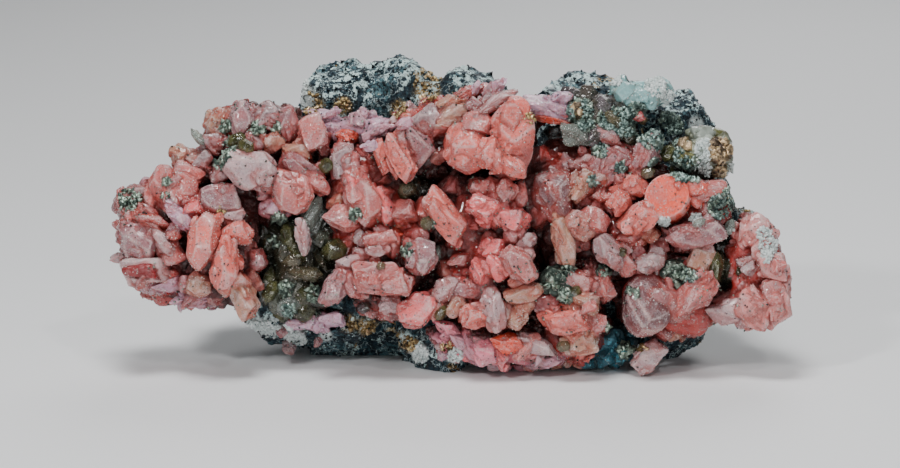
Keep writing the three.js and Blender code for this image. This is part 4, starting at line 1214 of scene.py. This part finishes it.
def strewn(mesh, thickly, draw):
    """Random places on a mesh, so many to the square millimetre, and the directions it faces: each is
    (1 - s) A + s (1 - t) B + s t C of a triangle ABC, where s is the root of a random number."""
    a, b, c = np.moveaxis(corners(mesh)[triangles_of(mesh)], 1, 0)
    facing = np.cross(b - a, c - a)
    area = np.linalg.norm(facing, axis=-1)
    count = int(thickly * area.sum() / 2 / MM**2)
    pick = draw.choice(len(area), count, p=area / area.sum())
    s, t = np.sqrt(draw.random((count, 1))), draw.random((count, 1))
    places = (1 - s) * a[pick] + s * (1 - t) * b[pick] + s * t * c[pick]
    return places, facing[pick] / area[pick, None]


def grains(name, places, facing, sizes, shape, tints, draw):
    """One mesh of many grains. Each is the shape, sized in millimetres, stood roughly along the way
    its surface faces and turned at random round that, with its middle a fifth of its size out."""
    shape_corners, shape_sides = shape
    count = len(places)
    axis = facing + draw.normal(scale=0.45, size=(count, 3))
    axis /= np.linalg.norm(axis, axis=-1)[:, None]
    aside = np.cross(axis, draw.normal(size=(count, 3)))
    aside /= np.linalg.norm(aside, axis=-1)[:, None]
    frames = np.stack([aside, np.cross(axis, aside), axis], 1)
    size = sizes[:, None] * draw.uniform(0.7, 1.3, (count, 3)) * MM
    points = np.einsum("vk,nk,nkx->nvx", shape_corners, size, frames)
    points += (places + 0.2 * facing * sizes[:, None] * MM)[:, None]
    points = points.reshape(-1, 3)
    points[:, 2] = np.maximum(points[:, 2], 0)
    numbers = shape_sides[None] + len(shape_corners) * np.arange(count)[:, None, None]
    piece = mesh_of(name, points, numbers.reshape(-1, 3))
    tint = np.repeat(tints, len(shape_corners), axis=0)
    put_attribute(piece.data, "tint", "FLOAT_COLOR", np.concatenate([tint, np.ones((len(tint), 1))], -1))
    put_attribute(piece.data, "own_place", "FLOAT_VECTOR", points / MM)
    put_attribute(piece.data, "growth", "FLOAT_VECTOR", np.zeros_like(points))
    put_attribute(piece.data, "sunk", "FLOAT", np.zeros(len(points)))
    return piece


FRONT_DEPTH = 3.5


def in_spots(places, table):
    """Which places lie within the radius of one of the table's spots on the face, near its front."""
    points = on_face(places)
    front = points[:, 2] > heights[square_of(points)] - FRONT_DEPTH
    spots = np.array(table)
    near = (np.linalg.norm(points[:, None, :2] - spots[:, :2], axis=-1) < spots[:, 2]).any(-1)
    return near & front


def tints_between(one, other, count, draw, evenness=1.7):
    """Colours at random between two, more of them near the first where the evenness is above 1."""
    share = draw.random((count, 1)) ** evenness
    return np.array(one) * (1 - share) + np.array(other) * share


GREEN_SPOTS = [
    (-56.3, 31.3, 2), (-39.5, 44.3, 1.1), (-33.8, 44, 1.3), (-30.2, 43.9, 0.9), (-38.5, 40.8, 1.3),
    (-39.3, 39, 0.9), (-40.3, 37.7, 1), (-30, 28, 1.2), (-16.3, 29, 1), (-24.2, 14.8, 1.4),
    (-28.8, 15.8, 1.4), (-7.3, 22.5, 1.1), (-31, 24, 1), (18, 16.5, 0.9), (20.5, 14.3, 1.2),
    (20.7, 19, 1.1), (27, 18.7, 1.2), (40, 18.5, 1.6), (32.2, 15, 1), (-49.6, 34.2, 0.8),
    (-49.7, 31.9, 0.7), (28.5, 9, 1), (-3.6, 27.2, 1), (31, 4.8, 1.3),
]
TEAL_SPOTS = [
    (31, 45, 2.6), (36, 43.5, 3.4), (39, 40.5, 2.2), (42, 36.5, 2.4), (47.4, 30.2, 2.2),
    (26.6, 40, 1.4), (30, 37, 1), (25, 34.6, 1), (23, 47, 2.4), (28, 45.6, 2), (33, 46.6, 2),
    (40.5, 36.5, 2), (49, 31.5, 2), (38.5, 44, 3), (-28.4, 12, 1.2), (24, 45, 1.6), (42, 18, 1.2),
    (36, 37.4, 1.2),
]
BRONZE_SPOTS = [
    (22.8, 47, 0.9), (34.5, 45.2, 0.8), (47.6, 40, 1.8), (41.5, 40.8, 0.9), (47.8, 36.6, 0.9),
]
WHITE_SPOTS = [
    (36.4, 51.4, 1.8), (38.6, 49.4, 1.4), (29.4, 52.6, 1.2), (45, 40, 1.8), (44.6, 37, 1.6),
    (50, 36, 1.8), (55, 25.4, 1.2), (55.8, 23.4, 1.7), (55.6, 21.4, 1), (49.4, 26.4, 0.8),
    (-26.2, 49.5, 1.6), (-26.6, 52, 1.4), (-32.5, 8, 2), (-29.5, 7.6, 1.8), (-27, 6.6, 1.4),
    (-5, 4, 1.4), (1, 4, 1.2), (43.2, 28, 1), (37.6, 27.6, 1), (-34.6, 8.6, 1.4),
]
GOLD_SPOTS = [
    (-24.5, 48.5, 2), (-19, 48, 1.6), (-9, 47.3, 1.6), (-4, 50.5, 2), (-2.5, 54, 1.4), (-17, 9.3, 1.3),
    (-14, 8.8, 1.3), (-10.5, 7.6, 1.3), (-7, 6, 1.3), (-0.5, 5.5, 1.1), (34, 5.3, 0.9), (50, 32.2, 1.3),
    (52.3, 30.4, 1.3), (-39.9, 29.5, 0.8), (14, 45.5, 1), (47, 40.5, 1.4),
]

THICKLY = 12  # places to the square millimetre
draw = np.random.default_rng(77)
on_crystals = [strewn(group.data, THICKLY, draw) for group in groups]
places, facing = (np.concatenate(parts) for parts in zip(*on_crystals, strewn(rock.data, THICKLY, draw)))


def white_grain_finish():
    """White quartz, with a cloudier, greener tint here and there."""
    finish = Finish("white_quartz_grains")
    cloud = finish.noise(finish.place(), 1.2, 3)
    tint = finish.attribute("tint")[0]
    return finish.surface(
        Base_Color=finish.blend(cloud.ramp(0.5, 0.7) * 0.5, tint, colour(0.70, 0.80, 0.80)),
        Roughness=0.15 + 0.3 * cloud,
        IOR=1.544,
        Transmission_Weight=0.15,
    )


GRAIN_FINISHES = {**SULPHIDE_FINISHES, "quartz_milky": white_grain_finish()}


def scatter(name, chosen, shape, sizes, dark, bright, slot):
    """Builds grains at the chosen places, between two sizes and two tints, with the slot's finish."""
    size = draw.uniform(*sizes, len(chosen))
    tints = tints_between(dark, bright, len(chosen), draw)
    piece = grains(name, places[chosen], facing[chosen], size, shape, tints, draw)
    piece.data.materials.append(GRAIN_FINISHES[slot])
    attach(piece, "root")


GRAIN_SETS = {  # spots, share of the places in them, shape, sizes, darkest and brightest tint, slot
    "green_sulphide_grains": (
        GREEN_SPOTS, 0.35, GRAIN_TETRAHEDRON, (0.35, 1.0),
        (0.03, 0.05, 0.04), (0.60, 0.76, 0.62), "tetrahedrite",
    ),
    "teal_sulphide_grains": (
        TEAL_SPOTS, 0.8, GRAIN_TETRAHEDRON, (0.3, 0.8),
        (0.05, 0.09, 0.08), (0.50, 0.66, 0.60), "tetrahedrite",
    ),
    "bronze_grains": (
        BRONZE_SPOTS, 0.4, CUBE, (0.5, 1.3), (0.06, 0.04, 0.03), (0.85, 0.62, 0.36), "pyrite",
    ),
    "white_quartz_grains": (
        WHITE_SPOTS, 1.0, spike(), (0.35, 0.9),
        (0.60, 0.68, 0.66), (0.95, 0.99, 0.98), "quartz_milky",
    ),
    "gold_ore_grains": (
        GOLD_SPOTS, 0.3, CUBE, (0.2, 0.6), (0.10, 0.05, 0.015), (0.80, 0.62, 0.30), "pyrite",
    ),
}
for name, (table, share, *grain) in GRAIN_SETS.items():
    chosen = in_spots(places, table) & (draw.random(len(places)) < share)
    scatter(name, np.flatnonzero(chosen), *grain)


# The dusting, finer still: pale grains over the crystals, black ones in drifts, and coarser dark
# and pale grains all over the rock.
DUST_DEPTH = 1.5
DRIFT_SIDE = 4
on_groups = np.concatenate([part[0] for part in on_crystals])
drift = lattice_noise(on_groups / MM + 200, DRIFT_SIDE, 5)
face_points = on_face(on_groups)
outer = face_points[:, 2] > heights[square_of(face_points)] - DUST_DEPTH
DUSTS = {  # where, share of the places there, sizes, darkest and brightest tint, slot
    "pale_dust": (
        (drift > 0.12) & outer, 0.11, (0.06, 0.17),
        (0.62, 0.50, 0.46), (0.92, 0.88, 0.84), "quartz_milky",
    ),
    "black_dust": (
        drift < -0.1, 0.03, (0.10, 0.30), (0.02, 0.02, 0.02), (0.16, 0.15, 0.12), "tetrahedrite",
    ),
}
for name, (where, share, *grain) in DUSTS.items():
    scatter(name, np.flatnonzero(where & (draw.random(len(where)) < share)), CUBE, *grain)

ORE_THICKLY = 0.5
ORE_LOWEST = 1
rock_places, rock_facing = strewn(rock.data, ORE_THICKLY, draw)
above = rock_places[:, 2] > ORE_LOWEST * MM
size = 0.2 + 0.4 * draw.random(above.sum()) ** 2
tints = tints_between((0.002, 0.005, 0.008), (0.70, 0.92, 0.95), above.sum(), draw, 7)
ore = grains("ore_grains", rock_places[above], rock_facing[above], size, GRAIN_TETRAHEDRON, tints, draw)
ore.data.materials.append(sulphide_finish("ore_grains", colour(0.03, 0.06, 0.075)))
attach(ore, "root")


# The place where it is shown: a plain pale floor, soft studio light from above, and a camera that
# looks straight at the crystal-covered face.
VIEW_WIDTH = 158.6
VIEW_MIDDLE = (0.1, 25.3)
CAMERA_DISTANCE = 800
SENSOR_WIDTH = 36


def lamp(name, place, target, size, power):
    """A square soft light at a place in millimetres, turned to a target."""
    light = bpy.data.lights.new(name, "AREA")
    light.shape = "SQUARE"
    light.size = size * MM
    light.energy = power
    holder = bpy.data.objects.new(name, light)
    holder.location = Vector(place) * MM
    holder.rotation_euler = (Vector(target) - Vector(place)).to_track_quat("-Z", "Y").to_euler()
    bpy.context.scene.collection.objects.link(holder)


# Name, place, target, side and power of each lamp.
lamp("overhead", (-40, -100, 480), (0, 0, 20), 150, 1.9)
lamp("key", (-300, -420, 380), (0, 0, 25), 60, 1.4)
lamp("fill", (420, -460, 240), (0, 0, 25), 160, 0.3)
lamp("low", (40, -460, 30), (0, 0, 10), 160, 0.45)
lamp("glint", (160, -420, 460), (0, 0, 25), 30, 0.5)
lamp("back", (120, 420, 330), (0, 0, 30), 320, 1.0)

floor_points = np.array([[-3, -3, 0], [3, -3, 0], [3, 3, 0], [-3, 3, 0]])
floor = mesh_of("floor", floor_points, np.array([[0, 1, 2, 3]]))
floor_finish = Finish("floor_paper")
floor.data.materials.append(floor_finish.surface(Base_Color=colour(0.86, 0.87, 0.88), Roughness=0.6))

world = bpy.data.worlds.new("studio")
world.use_nodes = True
world.node_tree.nodes["Background"].inputs["Color"].default_value = colour(0.80, 0.84, 0.90)
world.node_tree.nodes["Background"].inputs["Strength"].default_value = 0.05
bpy.context.scene.world = world

camera = bpy.data.objects.new("camera", bpy.data.cameras.new("camera"))
camera.data.sensor_width = SENSOR_WIDTH
camera.data.lens = SENSOR_WIDTH * CAMERA_DISTANCE / VIEW_WIDTH
camera.data.clip_start = 0.01
camera.location = in_frame([*VIEW_MIDDLE, CAMERA_DISTANCE])
camera.rotation_euler = (math.pi / 2 - LEAN, 0, 0)
bpy.context.scene.collection.objects.link(camera)
bpy.context.scene.camera = camera
